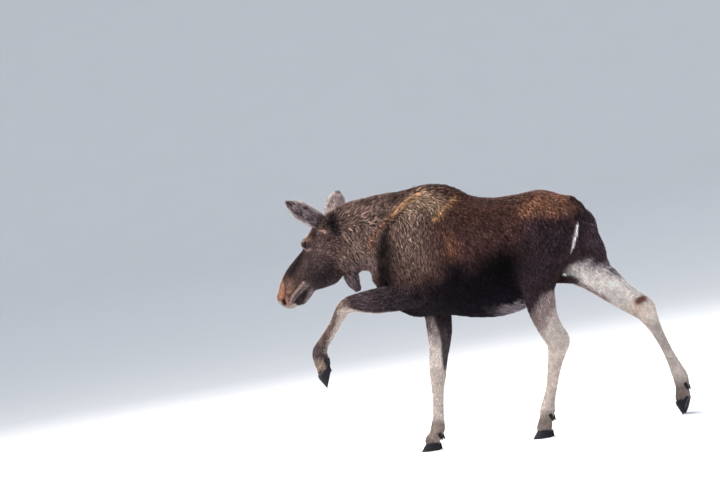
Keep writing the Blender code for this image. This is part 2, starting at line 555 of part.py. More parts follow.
def holds(v, f, p):
    """How often a ray from p along a skew direction leaves the faces (odd: p is inside)."""
    d = np.array([.8734, .2131, .4379])
    d /= np.linalg.norm(d)
    tri = np.array([(t[0], t[i], t[i+1]) for t in f for i in range(1, len(t)-1)])
    a, b, c = v[tri[:, 0]], v[tri[:, 1]], v[tri[:, 2]]
    e1, e2 = b-a, c-a
    h = np.cross(d, e2)
    det = (e1*h).sum(1)
    ok = np.abs(det) > 1e-15
    inv = np.where(ok, 1/np.where(ok, det, 1), 0)
    s = p-a
    u = (s*h).sum(1)*inv
    q = np.cross(s, e1)
    w = (q@d)*inv
    t = (e2*q).sum(1)*inv
    return int((ok & (u >= 0) & (w >= 0) & (u+w <= 1) & (t > 0)).sum()) % 2 == 1

def take(ob, p):
    """Lift the separate part that holds point p out of the object and return it."""
    parts = islands(ob.data)
    inside = [k for k in parts if holds(*k, np.array(p))]
    rest = joined([k for k in parts if k is not inside[0]])
    me = bpy.data.meshes.new("rest")
    me.from_pydata([tuple(map(float, q)) for q in rest[0]], [], rest[1])
    ob.data = me
    return inside[0]

def material(name, colour, rough):
    m = bpy.data.materials.new(name)
    m.use_nodes = True
    b = m.node_tree.nodes["Principled BSDF"]
    b.inputs["Base Color"].default_value = (*colour, 1)
    b.inputs["Roughness"].default_value = rough
    b.inputs["Metallic"].default_value = 0.0
    m.diffuse_color = (*colour, 1)
    return m

COAT_COLOUR = {"head": (.20, .15, .12), "neck": (.22, .16, .12), "trunk": (.16, .10, .07), "tail": (.05, .04, .04), "bell": (.20, .16, .14),
               "hindquarter": (.10, .07, .06), "foreleg": (.24, .20, .18), "hindleg": (.40, .33, .27), "ear": (.26, .23, .22)}

def finish(name, v, f):
    ob = mesh_object(name, np.asarray(v)-ORIGIN, f)
    kind = name.split("_")[0]
    if kind in ("claw", "dewclaw"):
        ob.data.materials.append(material(name+"_horn", (.035, .035, .045), .45))
    elif kind == "eye":
        ob.data.materials.append(material(name+"_cornea", (.02, .012, .01), .08))
    else:
        ob.data.materials.append(material(name+"_coat", COAT_COLOUR[kind], .85))
    ob.data.shade_smooth()
    ob.data.set_sharp_from_angle(angle=math.radians(38))
    return ob

def closed(tri):
    e = np.sort(np.concatenate([tri[:, [0, 1]], tri[:, [1, 2]], tri[:, [2, 0]]]), 1)
    return bool((np.unique(e, axis=0, return_counts=True)[1] == 2).all())

def main():
    for ob in list(bpy.data.objects):
        bpy.data.objects.remove(ob)
    prims = moose()
    for shift in (0, .0031, .0047, .0068, .0089):      # move the grid until every edge joins two faces
        F, lo = grid_field(prims, np.array([-.45-shift, -1.0-shift, -.02-shift]), np.array([.45, 1.85, 1.80]), CELL)
        v, q = surface_nets(F, lo, CELL)
        tri = np.concatenate([q[:, [0, 1, 2]], q[:, [0, 2, 3]]])
        if closed(tri):
            break
    v = project(lambda p: field(prims, p), v, 2)
    body = mesh_object("body", v, tri)
    m = body.modifiers.new("fewer", "DECIMATE")
    m.ratio = BODY_TRIANGLES/len(tri)
    baked(body)
    small = organs(prims)
    cut(body, FIRST_CUTS, "first_plates")
    done = {"tail": take(body, PIECES["tail"])}
    cut(body, SECOND_CUTS, "second_plates")
    cut(body, MIDLINE_CUT, "midline_plate")
    cut(body, [(grown(v, f, EAR_GAP if k.startswith("ear") else GAP*1.3), f) for k, (v, f) in small.items()], "pockets")
    parts = islands(body.data)
    bpy.data.objects.remove(body)
    for name, p in PIECES.items():
        if name in done:
            finish(name, *done[name])
            continue
        hit = [k for k in parts if holds(*k, np.array(p))]
        if len(hit) == 1:
            finish(name, *hit[0])
            parts = [k for k in parts if k is not hit[0]]
        else:
            print("no single part holds", name, len(hit))
    for v, f in parts:
        print("left over", len(f), v.mean(0), np.ptp(v, axis=0))
    for name, (v, f) in small.items():
        finish(name, v, f)

main()
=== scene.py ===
"""The looks of the walking moose: one skin with its coat of locks, ears, eyes and hooves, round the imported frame.
Metres, +Z up, the animal faces -Y and its left side is +X. The same tubes and balls that shape the solids shape
the skin, which lies under them by the depth of the coat; locks of hair then grow from the skin up to the solids'
surface. Markings are functions of the place on the body."""
import math
import time

import bpy
import numpy as np
from mathutils import Matrix, Vector


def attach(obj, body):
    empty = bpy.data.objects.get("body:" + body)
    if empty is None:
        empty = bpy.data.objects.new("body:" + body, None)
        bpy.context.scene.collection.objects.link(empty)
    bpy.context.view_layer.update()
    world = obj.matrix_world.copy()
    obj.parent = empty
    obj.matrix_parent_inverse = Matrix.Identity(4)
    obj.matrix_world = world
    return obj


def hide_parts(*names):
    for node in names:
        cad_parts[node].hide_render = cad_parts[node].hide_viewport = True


T0 = time.time()
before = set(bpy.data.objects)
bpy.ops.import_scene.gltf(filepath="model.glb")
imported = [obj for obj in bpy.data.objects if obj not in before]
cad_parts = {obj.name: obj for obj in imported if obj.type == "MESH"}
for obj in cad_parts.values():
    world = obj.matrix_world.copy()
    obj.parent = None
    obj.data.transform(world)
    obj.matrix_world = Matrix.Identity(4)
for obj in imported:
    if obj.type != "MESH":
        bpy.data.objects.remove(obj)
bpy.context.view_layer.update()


# ---------------------------------------------------------------- field tools
def resample(rows, m):
    """Smooth (Catmull-Rom) resampling of rows of numbers along their chord length."""
    rows = np.asarray(rows, float)
    seg = np.linalg.norm(np.diff(rows[:, :3], axis=0), axis=1)
    s = np.concatenate([[0], np.cumsum(seg)])
    d = np.empty_like(rows)
    d[1:-1] = (rows[2:]-rows[:-2])/(s[2:]-s[:-2])[:, None]
    d[0] = (rows[1]-rows[0])/seg[0]
    d[-1] = (rows[-1]-rows[-2])/seg[-1]
    t = np.linspace(0, s[-1], m)
    i = np.clip(np.searchsorted(s, t, side="right")-1, 0, len(seg)-1)
    h = seg[i][:, None]
    u = ((t-s[i])/seg[i])[:, None]
    return ((2*u**3-3*u**2+1)*rows[i] + (u**3-2*u**2+u)*h*d[i]
            + (-2*u**3+3*u**2)*rows[i+1] + (u**3-u**2)*h*d[i+1])

class Tube:
    """A limb or trunk: sections (x, y, z, half width, upper/hind half, lower/fore half) along an axis."""
    def __init__(self, rows, k=.05, caps=(.03, .03), e=2.0, m=0, lat=(1, 0, 0)):
        rows = np.asarray(rows, float)
        m = m or (4*(len(rows)-1)+1 if len(rows) > 2 else 5)
        r = resample(rows, m)
        self.c, self.a, self.u, self.d = r[:, :3], r[:, 3], r[:, 4], r[:, 5]
        t = np.gradient(self.c, axis=0)
        t /= np.linalg.norm(t, axis=1)[:, None]
        lat = np.asarray(lat, float)
        l = lat-(t@lat)[:, None]*t
        l /= np.linalg.norm(l, axis=1)[:, None]
        self.t, self.l, self.n = t, l, np.cross(l, t)
        self.k, self.caps, self.e = k, caps, e
        big = np.maximum(np.maximum(self.a, self.u), self.d)
        pad = np.maximum(big, max(caps))[:, None]
        self.lo, self.hi = (self.c-pad).min(0), (self.c+pad).max(0)

    def dist(self, p):
        n = len(p)
        best = np.full(n, np.inf)
        par = np.zeros(n)
        for i in range(len(self.c)-1):
            a = self.c[i]
            ab = self.c[i+1]-a
            q = p-a
            t = np.clip((q@ab)/(ab@ab), 0, 1)
            q -= t[:, None]*ab
            dd = np.einsum("ij,ij->i", q, q)
            m = dd < best
            best[m] = dd[m]
            par[m] = i+t[m]
        i = np.minimum(par.astype(int), len(self.c)-2)
        f = par-i
        g = lambda arr: arr[i]*(1-f)+arr[i+1]*f
        gv = lambda arr: arr[i]*(1-f)[:, None]+arr[i+1]*f[:, None]
        v = p-gv(self.c)
        u = np.abs(np.einsum("ij,ij->i", v, gv(self.l)))/g(self.a)
        w = np.einsum("ij,ij->i", v, gv(self.n))
        w = np.abs(w)/np.where(w > 0, g(self.u), g(self.d))
        s = np.einsum("ij,ij->i", v, gv(self.t))
        cap = np.where(s < 0, self.caps[0], self.caps[1])
        s = np.where((par <= 1e-9) | (par >= len(self.c)-1-1e-9), np.abs(s)/cap, 0)
        if self.e == 2.0:
            rho = np.sqrt(u*u+w*w+s*s)
        else:
            rho = (u**self.e+w**self.e+s**self.e)**(1/self.e)
        r = np.linalg.norm(v, axis=1)
        rho = np.maximum(rho, 1e-6)
        small = np.minimum(np.minimum(g(self.a), g(self.u)), g(self.d))
        return np.where(r > 1e-6, r*(1-1/rho), -small)

class Ball:
    """An ellipsoid with half sizes h and optional rotation matrix rows (axes)."""
    def __init__(self, c, h, k=.03, rot=None):
        self.c, self.h, self.k = np.asarray(c, float), np.asarray(h, float), k
        self.rot = np.eye(3) if rot is None else np.asarray(rot, float)
        r = self.h.max()
        self.lo, self.hi = self.c-r, self.c+r

    def dist(self, p):
        v = (p-self.c)@self.rot.T
        rho = np.maximum(np.linalg.norm(v/self.h, axis=1), 1e-6)
        r = np.linalg.norm(v, axis=1)
        return np.where(r > 1e-6, r*(1-1/rho), -self.h.min())

BIG = 1.0
def smin(a, b, k):
    h = np.maximum(k-np.abs(a-b), 0)/k
    return np.minimum(a, b)-h*h*k*.25

def field(prims, p, margin=.02):
    """Smooth union of the primitives at points p (n,3)."""
    f = np.full(len(p), BIG)
    for q in prims:
        pad = q.k+margin
        m = np.all((p > q.lo-pad) & (p < q.hi+pad), axis=1)
        idx = np.nonzero(m)[0]
        if len(idx):
            f[idx] = smin(f[idx], q.dist(p[idx]), q.k)
    return f

def grid_field(prims, lo, hi, h, margin=.02):
    n = np.ceil((np.asarray(hi)-lo)/h).astype(int)+1
    ax = [lo[i]+h*np.arange(n[i]) for i in range(3)]
    F = np.full(n, BIG)
    for q in prims:
        pad = q.k+margin
        i0 = [max(0, int(np.searchsorted(ax[i], q.lo[i]-pad))) for i in range(3)]
        i1 = [min(n[i], int(np.searchsorted(ax[i], q.hi[i]+pad))) for i in range(3)]
        if min(i1[i]-i0[i] for i in range(3)) <= 0:
            continue
        sl = tuple(slice(i0[i], i1[i]) for i in range(3))
        g = np.stack(np.meshgrid(*[ax[i][sl[i]] for i in range(3)], indexing="ij"), -1).reshape(-1, 3)
        F[sl] = smin(F[sl], q.dist(g).reshape(F[sl].shape), q.k)
    return F, np.asarray(lo, float)

def surface_nets(F, lo, h):
    S = F < 0
    n = np.array(F.shape)-1
    c = np.zeros(n, np.int8)
    for dx in (0, 1):
        for dy in (0, 1):
            for dz in (0, 1):
                c += S[dx:n[0]+dx, dy:n[1]+dy, dz:n[2]+dz]
    act = (c > 0) & (c < 8)
    I, J, K = np.nonzero(act)
    idx = np.full(n, -1, np.int64)
    idx[I, J, K] = np.arange(len(I))
    pos = np.zeros((len(I), 3))
    cnt = np.zeros(len(I))
    corners = [(a, b, d) for a in (0, 1) for b in (0, 1) for d in (0, 1)]
    for a in corners:
        for ax in range(3):
            if a[ax]:
                continue
            b = list(a)
            b[ax] = 1
            fa = F[I+a[0], J+a[1], K+a[2]]
            fb = F[I+b[0], J+b[1], K+b[2]]
            m = (fa < 0) != (fb < 0)
            t = np.where(m, fa/np.where(m, fa-fb, 1), 0)
            q = np.repeat(np.array(a, float)[None], len(I), 0)
            q[:, ax] += t
            pos[m] += q[m]
            cnt[m] += 1
    pos = lo+h*(np.stack([I, J, K], 1)+pos/cnt[:, None])
    quads = []
    for ax in range(3):
        o = [(1, 2), (2, 0), (0, 1)][ax]
        sl0 = [slice(1, n[i]) for i in range(3)]
        sl0[ax] = slice(0, n[ax])
        sl1 = list(sl0)
        sl1[ax] = slice(1, n[ax]+1)
        A, B = S[tuple(sl0)], S[tuple(sl1)]
        for sign in (0, 1):
            m = (A & ~B) if sign == 0 else (~A & B)
            q = np.stack(np.nonzero(m), 1)
            for i in range(3):
                if i != ax:
                    q[:, i] += 1
            def cell(d0, d1):
                r = q.copy()
                r[:, o[0]] -= d0
                r[:, o[1]] -= d1
                return idx[r[:, 0], r[:, 1], r[:, 2]]
            v = [cell(1, 1), cell(0, 1), cell(0, 0), cell(1, 0)]
            if sign:
                v = v[::-1]
            quads.append(np.stack(v, 1))
    return pos, np.concatenate(quads)

def project(fn, p, steps=3, eps=2e-4, clamp=.01):
    for _ in range(steps):
        f, g = grad(fn, p, eps)
        p = p-np.clip(f/np.maximum((g*g).sum(1), .05), -clamp, clamp)[:, None]*g
    return p

T4 = np.array([[1, 1, 1], [1, -1, -1], [-1, 1, -1], [-1, -1, 1]], float)
def grad(fn, p, eps=2e-4):
    v = [fn(p+eps*t) for t in T4]
    g = sum(v[i][:, None]*T4[i] for i in range(4))/(4*eps)
    return sum(v)/4, g

# ---------------------------------------------------------------- the moose
HEAD_POLL = np.array([0, -.401, 1.639])
HEAD_ANGLE = 50.0
_t = np.radians(HEAD_ANGLE)
HD = np.array([0, -np.cos(_t), -np.sin(_t)])      # from poll to nose
HN = np.array([0, -np.sin(_t), np.cos(_t)])       # out of the forehead
def hp(x, s, n):
    return HEAD_POLL+np.array([x, 0, 0])+s*HD+n*HN

def head_rows(rows):
    """rows (s, n_top, n_bottom, half width) from poll to nose -> Tube rows from nose to poll."""
    out = []
    for s, nt, nb, w in rows[::-1]:
        m = nt-.5*(nt-nb)
        c = hp(0, s, m)
        out.append([*c, w, nt-m, m-nb])
    return out

def moose():
    P = []
    # trunk: (y, top, bottom, half width)
    axis = 1.235
    tr = [(-.07, 1.54, 1.02, .140), (.02, 1.58, .955, .185), (.16, 1.60, .885, .225), (.32, 1.585, .832, .252),
          (.48, 1.553, .798, .272), (.64, 1.537, .792, .278), (.78, 1.534, .822, .268), (.92, 1.534, .90, .245),
          (1.02, 1.522, .985, .220), (1.10, 1.488, 1.06, .185)]
    P.append(Tube([(0, y, axis, w, t-axis, axis-b) for y, t, b, w in tr], k=.06, caps=(.10, .125), e=2.15))
    # withers hump and crest ridge
    P.append(Tube([(0, -.30, 1.55, .070, .100, .12), (0, -.10, 1.562, .080, .104, .14), (0, .08, 1.562, .088, .112, .16),
                   (0, .24, 1.571, .090, .119, .16), (0, .36, 1.551, .088, .114, .15), (0, .46, 1.485, .082, .105, .14), (0, .56, 1.43, .075, .100, .12)], k=.07, caps=(.06, .10)))
    # neck
    P.append(Tube([(0, -.43, 1.435, .098, .165, .212), (0, -.32, 1.425, .120, .205, .214), (0, -.20, 1.42, .142, .22, .216),
                   (0, -.06, 1.40, .168, .24, .255), (0, .10, 1.38, .19, .23, .29)], k=.07, caps=(.05, .12), e=2.1))
    # chest point between the shoulders
    P.append(Tube([(0, -.115, 1.165, .080, .10, .095), (0, -.06, 1.05, .095, .10, .10), (0, .05, .965, .095, .10, .10), (0, .13, .965, .090, .09, .095)], k=.09, caps=(.06, .06)))
    # udder and groin
    P.append(Tube([(-.01, .86, .985, .090, .050, .050), (-.035, .975, .968, .075, .030, .030), (-.082, 1.080, .934, .044, .020, .020)], k=.035, caps=(.05, .03)))
    for s in (1, -1):
        # shoulder blade
        P.append(Tube([(s*.100, .21, 1.50, .070, .10, .10), (s*.140, .10, 1.38, .078, .12, .13), (s*.148, .00, 1.25, .080, .13, .115)], k=.08, caps=(.08, .08)))
        # hip
        P.append(Tube([(s*.090, .92, 1.43, .09, .10, .09), (s*.120, 1.045, 1.325, .10, .145, .15)], k=.08, caps=(.07, .07)))
    # upper arms
    P.append(Tube([(.148, -.01, 1.25, .078, .12, .11), (.158, .07, 1.12, .073, .12, .105), (.166, .085, 1.02, .067, .10, .09)], k=.05, caps=(.06, .06)))
    P.append(Tube([(-.148, -.01, 1.25, .078, .12, .11), (-.154, .10, 1.10, .073, .12, .11), (-.156, .135, .97, .067, .095, .09)], k=.05, caps=(.06, .06)))
    # left foreleg, raised: (x, y, z, half width, hind half, fore half)
    P.append(Tube([(.172, .10, 1.020, .068, .085, .08), (.169, -.02, 1.010, .068, .080, .086), (.163, -.15, 1.012, .060, .080, .084), (.158, -.22, 1.016, .055, .072, .074),
                   (.155, -.29, 1.020, .051, .060, .061), (.153, -.345, 1.017, .051, .052, .054), (.152, -.386, .999, .052, .047, .049), (.150, -.418, .970, .048, .043, .044),
                   (.148, -.449, .933, .040, .037, .038), (.146, -.490, .880, .036, .033, .040), (.143, -.535, .829, .035, .031, .045), (.141, -.573, .786, .037, .032, .047),
                   (.140, -.606, .740, .045, .046, .052), (.140, -.608, .690, .043, .052, .050), (.140, -.601, .655, .048, .046, .048), (.140, -.596, .617, .052, .042, .047)],
                  k=.04, caps=(.06, .012), m=57))
    # right foreleg, planted
    P.append(Tube([(-.160, .135, .99, .070, .095, .095), (-.150, .131, .86, .067, .083, .094), (-.140, .125, .75, .060, .077, .089), (-.128, .112, .66, .052, .066, .074),
                   (-.118, .096, .59, .048, .057, .064), (-.109, .082, .53, .049, .055, .060), (-.103, .069, .46, .047, .051, .054), (-.095, .057, .39, .039, .042, .042),
                   (-.082, .043, .28, .034, .037, .036), (-.070, .030, .19, .038, .042, .038), (-.062, .018, .137, .044, .051, .044), (-.055, .000, .095, .043, .046, .041),
                   (-.049, -.022, .070, .050, .048, .043), (-.048, -.030, .050, .052, .048, .046)], k=.04, caps=(.07, .012), m=53))
    # left hind leg, planted well forward
    P.append(Tube([(.122, 1.02, 1.31, .095, .15, .16), (.152, .980, 1.18, .100, .145, .19), (.172, .940, 1.07, .093, .138, .160), (.180, .924, .975, .077, .115, .112)], k=.06, caps=(.08, .05)))
    P.append(Tube([(.182, .925, .98, .076, .108, .106), (.183, .925, .88, .069, .098, .103), (.181, .930, .79, .060, .086, .093), (.177, .945, .71, .051, .078, .083),
                   (.174, .966, .645, .047, .076, .077), (.172, .986, .59, .048, .080, .075), (.170, .973, .53, .045, .060, .064), (.169, .950, .47, .040, .048, .051),
                   (.167, .924, .40, .036, .041, .042), (.164, .890, .30, .034, .037, .037), (.161, .853, .215, .038, .043, .040), (.160, .838, .175, .045, .052, .046),
                   (.160, .818, .118, .043, .046, .041), (.160, .800, .075, .050, .050, .043), (.160, .792, .052, .052, .050, .046)], k=.04, caps=(.06, .012), m=57))
    # right hind leg, stretched back
    P.append(Tube([(-.122, 1.02, 1.31, .095, .15, .16), (-.146, 1.085, 1.19, .100, .172, .18), (-.153, 1.14, 1.07, .095, .165, .165), (-.151, 1.175, .98, .080, .13, .13)], k=.06, caps=(.08, .05)))
    P.append(Tube([(-.151, 1.165, .985, .079, .122, .122), (-.149, 1.235, .920, .069, .108, .110), (-.147, 1.290, .865, .061, .098, .101), (-.144, 1.338, .815, .055, .089, .091),
                   (-.142, 1.390, .768, .049, .082, .084), (-.141, 1.445, .726, .046, .078, .082), (-.140, 1.485, .688, .048, .076, .078), (-.139, 1.510, .638, .045, .056, .062),
                   (-.139, 1.533, .575, .040, .040, .045), (-.138, 1.553, .515, .036, .034, .035), (-.138, 1.577, .445, .033, .031, .032), (-.137, 1.605, .36, .033, .034, .034),
                   (-.136, 1.628, .285, .040, .044, .042), (-.136, 1.643, .228, .045, .051, .047), (-.136, 1.645, .165, .043, .046, .043), (-.136, 1.640, .118, .050, .047, .046), (-.136, 1.634, .092, .052, .047, .047)], k=.04, caps=(.06, .012), m=65))
    # tail
    P.append(Tube([(0, 1.160, 1.430, .044, .045, .045), (0, 1.212, 1.385, .040, .040, .038), (0, 1.230, 1.335, .033, .031, .032), (0, 1.230, 1.290, .018, .020, .020)], k=.025, caps=(.04, .022)))
    # head, from its profile
    P.append(Tube(head_rows([(.02, -.012, -.20, .083), (.10, .030, -.22, .098), (.19, .055, -.235, .106), (.27, .054, -.225, .106), (.35, .043, -.195, .094), (.43, .056, -.165, .082),
                             (.52, .071, -.140, .073), (.60, .066, -.120, .071), (.665, .048, -.098, .069)]), k=.03, caps=(.062, .06), e=2.35))
    # lower jaw and cheek
    P.append(Tube(head_rows([(.30, -.08, -.255, .074), (.37, -.10, -.268, .068), (.44, -.10, -.222, .058), (.52, -.09, -.158, .048), (.59, -.09, -.150, .044), (.63, -.10, -.140, .038)]), k=.03, caps=(.018, .05), e=2.1))
    for s in (1, -1):
        P.append(Ball(hp(s*.074, .262, .014), (.030, .048, .032), k=.05))       # brow over the eye
    # bell under the throat
    P.append(Tube([(0, -.365, 1.20, .045, .055, .05), (0, -.348, 1.145, .036, .042, .042), (0, -.332, 1.108, .020, .024, .028)], k=.04, caps=(.03, .025)))
    # hamstring of the right leg, which fills the outline behind the hip
    P.append(Ball((-.130, 1.170, 1.262), (.060, .106, .125), k=.04))
    return P

# ---------------------------------------------------------------- claws, ears
def frame_of(fwd, up):
    f = np.asarray(fwd, float); f /= np.linalg.norm(f)
    u = np.asarray(up, float); u = u-(u@f)*f; u /= np.linalg.norm(u)
    return np.stack([np.cross(f, u), f, u])          # rows: right, forward, up

def grid_mesh(rings, top, bottom):
    """Closed mesh from rings of equal length with a point at each end."""
    n = len(rings[0])
    v = np.concatenate([np.concatenate(rings), [bottom], [top]])
    f = []
    for i in range(len(rings)-1):
        for j in range(n):
            a, b = i*n+j, i*n+(j+1) % n
            f += [(a, b, b+n), (a, b+n, a+n)]
    m, k = len(rings)*n, (len(rings)-1)*n
    for j in range(n):
        f += [(m, (j+1) % n, j), (m+1, k+j, k+(j+1) % n)]
    return v, np.array(f)

def claw(side, length=.132, width=.053, front=.078, heel=.048, n=16):
    """One claw of a cloven hoof in its own frame: x outwards, y to the toe, z up, sole at z=0."""
    t = 2*np.pi*np.arange(n)/n
    y, x = np.cos(t), np.sin(t)
    toe = np.clip((y+.1)/1.1, 0, 1)
    wide = 1-.62*toe**2.2
    px = np.where(x > 0, x, x*.72)*wide*width*.5*side
    px = px-side*toe**2*width*.16
    if side < 0:
        px, y = px[::-1], y[::-1]
    yy = (y+1)*.5
    rings = []
    for z in (0, .004, .25, .5, .75, 1.0):
        q = z if z > .01 else 0
        top = heel+(front-heel)*yy
        zz = (top*q if z > .01 else np.full(n, z))
        shrink = .96 if z == 0 else 1
        back = zz*yy*.80
        rings.append(np.stack([px*shrink*(1-.10*q)-side*zz*.05, yy*length*shrink+(1-shrink)*length*.5-back-length*.5+zz*(1-yy)*.10, zz], 1))
    c = rings[-1].mean(0)
    rings.append(c+(rings[-1]-c)*[.55, .55, 1]+[0, 0, .010])
    top = c+[0, 0, .016]
    v, f = grid_mesh(rings, top, np.array([rings[0][:, 0].mean(), rings[0][:, 1].mean(), 0]))
    return v, f[:, ::-1]

def normals(v, f):
    n = np.zeros_like(v)
    fn = np.cross(v[f[:, 1]]-v[f[:, 0]], v[f[:, 2]]-v[f[:, 0]])
    for i in range(3):
        np.add.at(n, f[:, i], fn)
    return n/np.maximum(np.linalg.norm(n, axis=1), 1e-12)[:, None]

def grown(v, f, d):
    return v+d*normals(v, f)

def ear_mesh(base, tip, back, width, depth=.45, thick=.011, nu=12, nv=8):
    """A cupped leaf: rings from base to tip, each the outer arc and then the inner arc; 'back' is the convex side."""
    base, tip = np.asarray(base, float), np.asarray(tip, float)
    F = frame_of(tip-base, back)
    L = np.linalg.norm(tip-base)
    v = []
    for i in range(nu):
        u = i/(nu-1)
        w = width*.5*(.40+.60*np.sin(np.pi*(.12+u*.80))**.9)*(1-u**7*.72)
        roll = (1.25*(1-u)**1.5+.35)*depth*2          # how far the sides curl round
        for off, vs in ((1, np.linspace(-1, 1, nv)), (-1, np.linspace(1, -1, nv))):
            a = vs*roll
            o = off*thick*(1-.55*u)*.5*np.sqrt(np.maximum(1-vs**4, .08))
            v.append(np.stack([w*np.sin(a)/np.sin(roll)+o*np.sin(a), np.full(nv, u*L), -w*(1-np.cos(a))/np.sin(roll)+o*np.cos(a)], 1))
    v, n = np.concatenate(v), 2*nv
    f = [(i*n+j, i*n+(j+1) % n, (i+1)*n+(j+1) % n, (i+1)*n+j) for i in range(nu-1) for j in range(n)]
    for k, flip in ((0, True), ((nu-1)*n, False)):
        for j in range(nv-1):
            q = (k+j, k+j+1, k+n-2-j, k+n-1-j)
            f.append(q[::-1] if flip else q)
    f = np.array(f)
    return base+v@F, np.concatenate([f[:, [0, 1, 2]], f[:, [0, 2, 3]]])

# ---------------------------------------------------------------- the looks: named sizes (metres)
ORIGIN = np.array([.0002, .4086, 0.])      # the frame's origin in the animal's own coordinates
SEED = 11
EAR_WIDTHS = {"left": .120, "right": .136}
COARSE, FINE = .0128, .0054                # skin cells on the body and on the head
EYE_RADIUS = .0193
LID_OPEN = (.0200, .0112)                  # half length and half height of the gap between the lids

rng = np.random.default_rng(SEED)
PRIMS = moose()
GROUPS = {"trunk": [0, 3, 4, 5, 6, 7, 8], "crest": [1], "neck": [2], "arm": [9, 10], "lf": [11], "rf": [12], "hl": [13, 14], "hr": [15, 16, 23],
          "tail": [17], "head": [18, 19, 20, 21], "bell": [22]}
GN = list(GROUPS)

def unit(a):
    return a/np.maximum(np.linalg.norm(a, axis=-1, keepdims=True), 1e-9)

def step(x, a, b):
    t = np.clip((x-a)/(b-a), 0, 1)
    return t*t*(3-2*t)

def hashed(i, j, k):
    n = (i*73856093) ^ (j*19349663) ^ (k*83492791)
    n = (n ^ (n >> 13))*1274126177 & 0x7fffffff
    return ((n ^ (n >> 16)) & 0xffff)/65535.

def vnoise(p):
    """Smooth value noise in 0..1 with a cell of one unit."""
    f = np.floor(p).astype(np.int64)
    t = p-f
    t = t*t*(3-2*t)
    out = 0
    for a in (0, 1):
        for b in (0, 1):
            for c in (0, 1):
                w = (t[:, 0] if a else 1-t[:, 0])*(t[:, 1] if b else 1-t[:, 1])*(t[:, 2] if c else 1-t[:, 2])
                out = out+w*hashed(f[:, 0]+a, f[:, 1]+b, f[:, 2]+c)
    return out

def weights(p, soft=.022, far=.16):
    """How much each group of the body owns each point."""
    D = np.full((len(GN), len(p)), far)
    for gi, g in enumerate(GN):
        for i in GROUPS[g]:
            q = PRIMS[i]
            m = np.nonzero(np.all((p > q.lo-far) & (p < q.hi+far), axis=1))[0]
            if len(m):
                D[gi, m] = np.minimum(D[gi, m], q.dist(p[m]))
    w = np.exp(-(D-D.min(0))/soft)
    return w/w.sum(0)

def along(q, p):
    """Nearest place on a tube: share of its length, tangent, angle round it."""
    best, par = np.full(len(p), np.inf), np.zeros(len(p))
    for i in range(len(q.c)-1):
        ab = q.c[i+1]-q.c[i]
        v = p-q.c[i]
        t = np.clip((v@ab)/(ab@ab), 0, 1)
        v = v-t[:, None]*ab
        d = (v*v).sum(1)
        m = d < best
        best[m] = d[m]
        par[m] = i+t[m]
    i = np.minimum(par.astype(int), len(q.c)-2)
    f = (par-i)[:, None]
    T = unit(q.t[i]*(1-f)+q.t[i+1]*f)
    c, l, n = (a[i]*(1-f)+a[i+1]*f for a in (q.c, q.l, q.n))
    v = p-c
    return par/(len(q.c)-1), T, np.arctan2((v*l).sum(1), (v*n).sum(1))

def head_st(p):
    """Head coordinates: s from poll to nose, n out of the forehead."""
    v = p-HEAD_POLL
    return v@HD, v@HN

# ---------------------------------------------------------------- lie and length of the coat
def lie_of(p, W):
    """Direction the hair runs, not yet laid on the surface."""
    x, y, z = p.T
    sx = np.tanh(x/.03)
    w = dict(zip(GN, W))
    d = np.zeros_like(p)
    top = step(z, 1.44, 1.60)
    low = step(-z, -1.0, -.84)
    shoulder = 1-step(y, .30, .62)
    haunch = step(y, .86, 1.10)
    ridge = step(-np.abs(x), -.10, -.03)*top
    side = np.stack([sx*.20*top, .62-.52*shoulder-.10*haunch, -.80+.05*top], 1)
    over = np.stack([sx*.20, 1+0*x, -.12+0*x], 1)
    k = np.clip(.55*top*(1-shoulder)+ridge, 0, 1)[:, None]
    tr = side*(1-k)+over*k
    tr[:, 2] += .35*low
    chest = step(-y, .02, .12)*step(-z, -1.35, -1.20)
    tr = tr*(1-chest[:, None])+np.array([0, .25, -1.])*chest[:, None]
    d += w["trunk"][:, None]*tr
    # neck: swept up and back towards the ridge, level behind the ear, down and back below it
    up = step(z-.25*np.clip(-.15-y, 0, .3), 1.44, 1.56)
    flow = np.stack([sx*.12, .45+.38*up, -.90+1.48*up], 1)
    back = step(y, .10, .36)[:, None]
    crest = flow*(1-back)+np.stack([sx*.15, 1+0*x, -.35+0*x], 1)*back
    d += w["crest"][:, None]*crest
    d += w["neck"][:, None]*flow
    for g, i in (("arm", None), ("lf", 11), ("rf", 12), ("hl", None), ("hr", None), ("tail", 17), ("bell", 22)):
        m = np.nonzero(w[g] > .02)[0]
        if not len(m):
            continue
        q = p[m]
        if g == "arm":
            left = q[:, 0] > 0
            T = np.where(left[:, None], along(PRIMS[9], q)[1], along(PRIMS[10], q)[1])+np.array([0, .25, -.2])
        elif g in ("hl", "hr"):
            a, b = PRIMS[13 if g == "hl" else 15], PRIMS[14 if g == "hl" else 16]
            k = step(-q[:, 2], -1.02, -.92)[:, None]
            T = along(a, q)[1]*(1-k)+along(b, q)[1]*k+np.array([0, .15, -.1])*(1-k)
        else:
            T = along(PRIMS[i], q)[1]
        d[m] += w[g][m][:, None]*T
    s, n = head_st(p)
    cheek = step(-n, .05, .18)[:, None]
    hd = -HD-.55*HN*cheek+np.stack([sx*.15, 0*x, 0*x], 1)
    d += w["head"][:, None]*hd
    return d

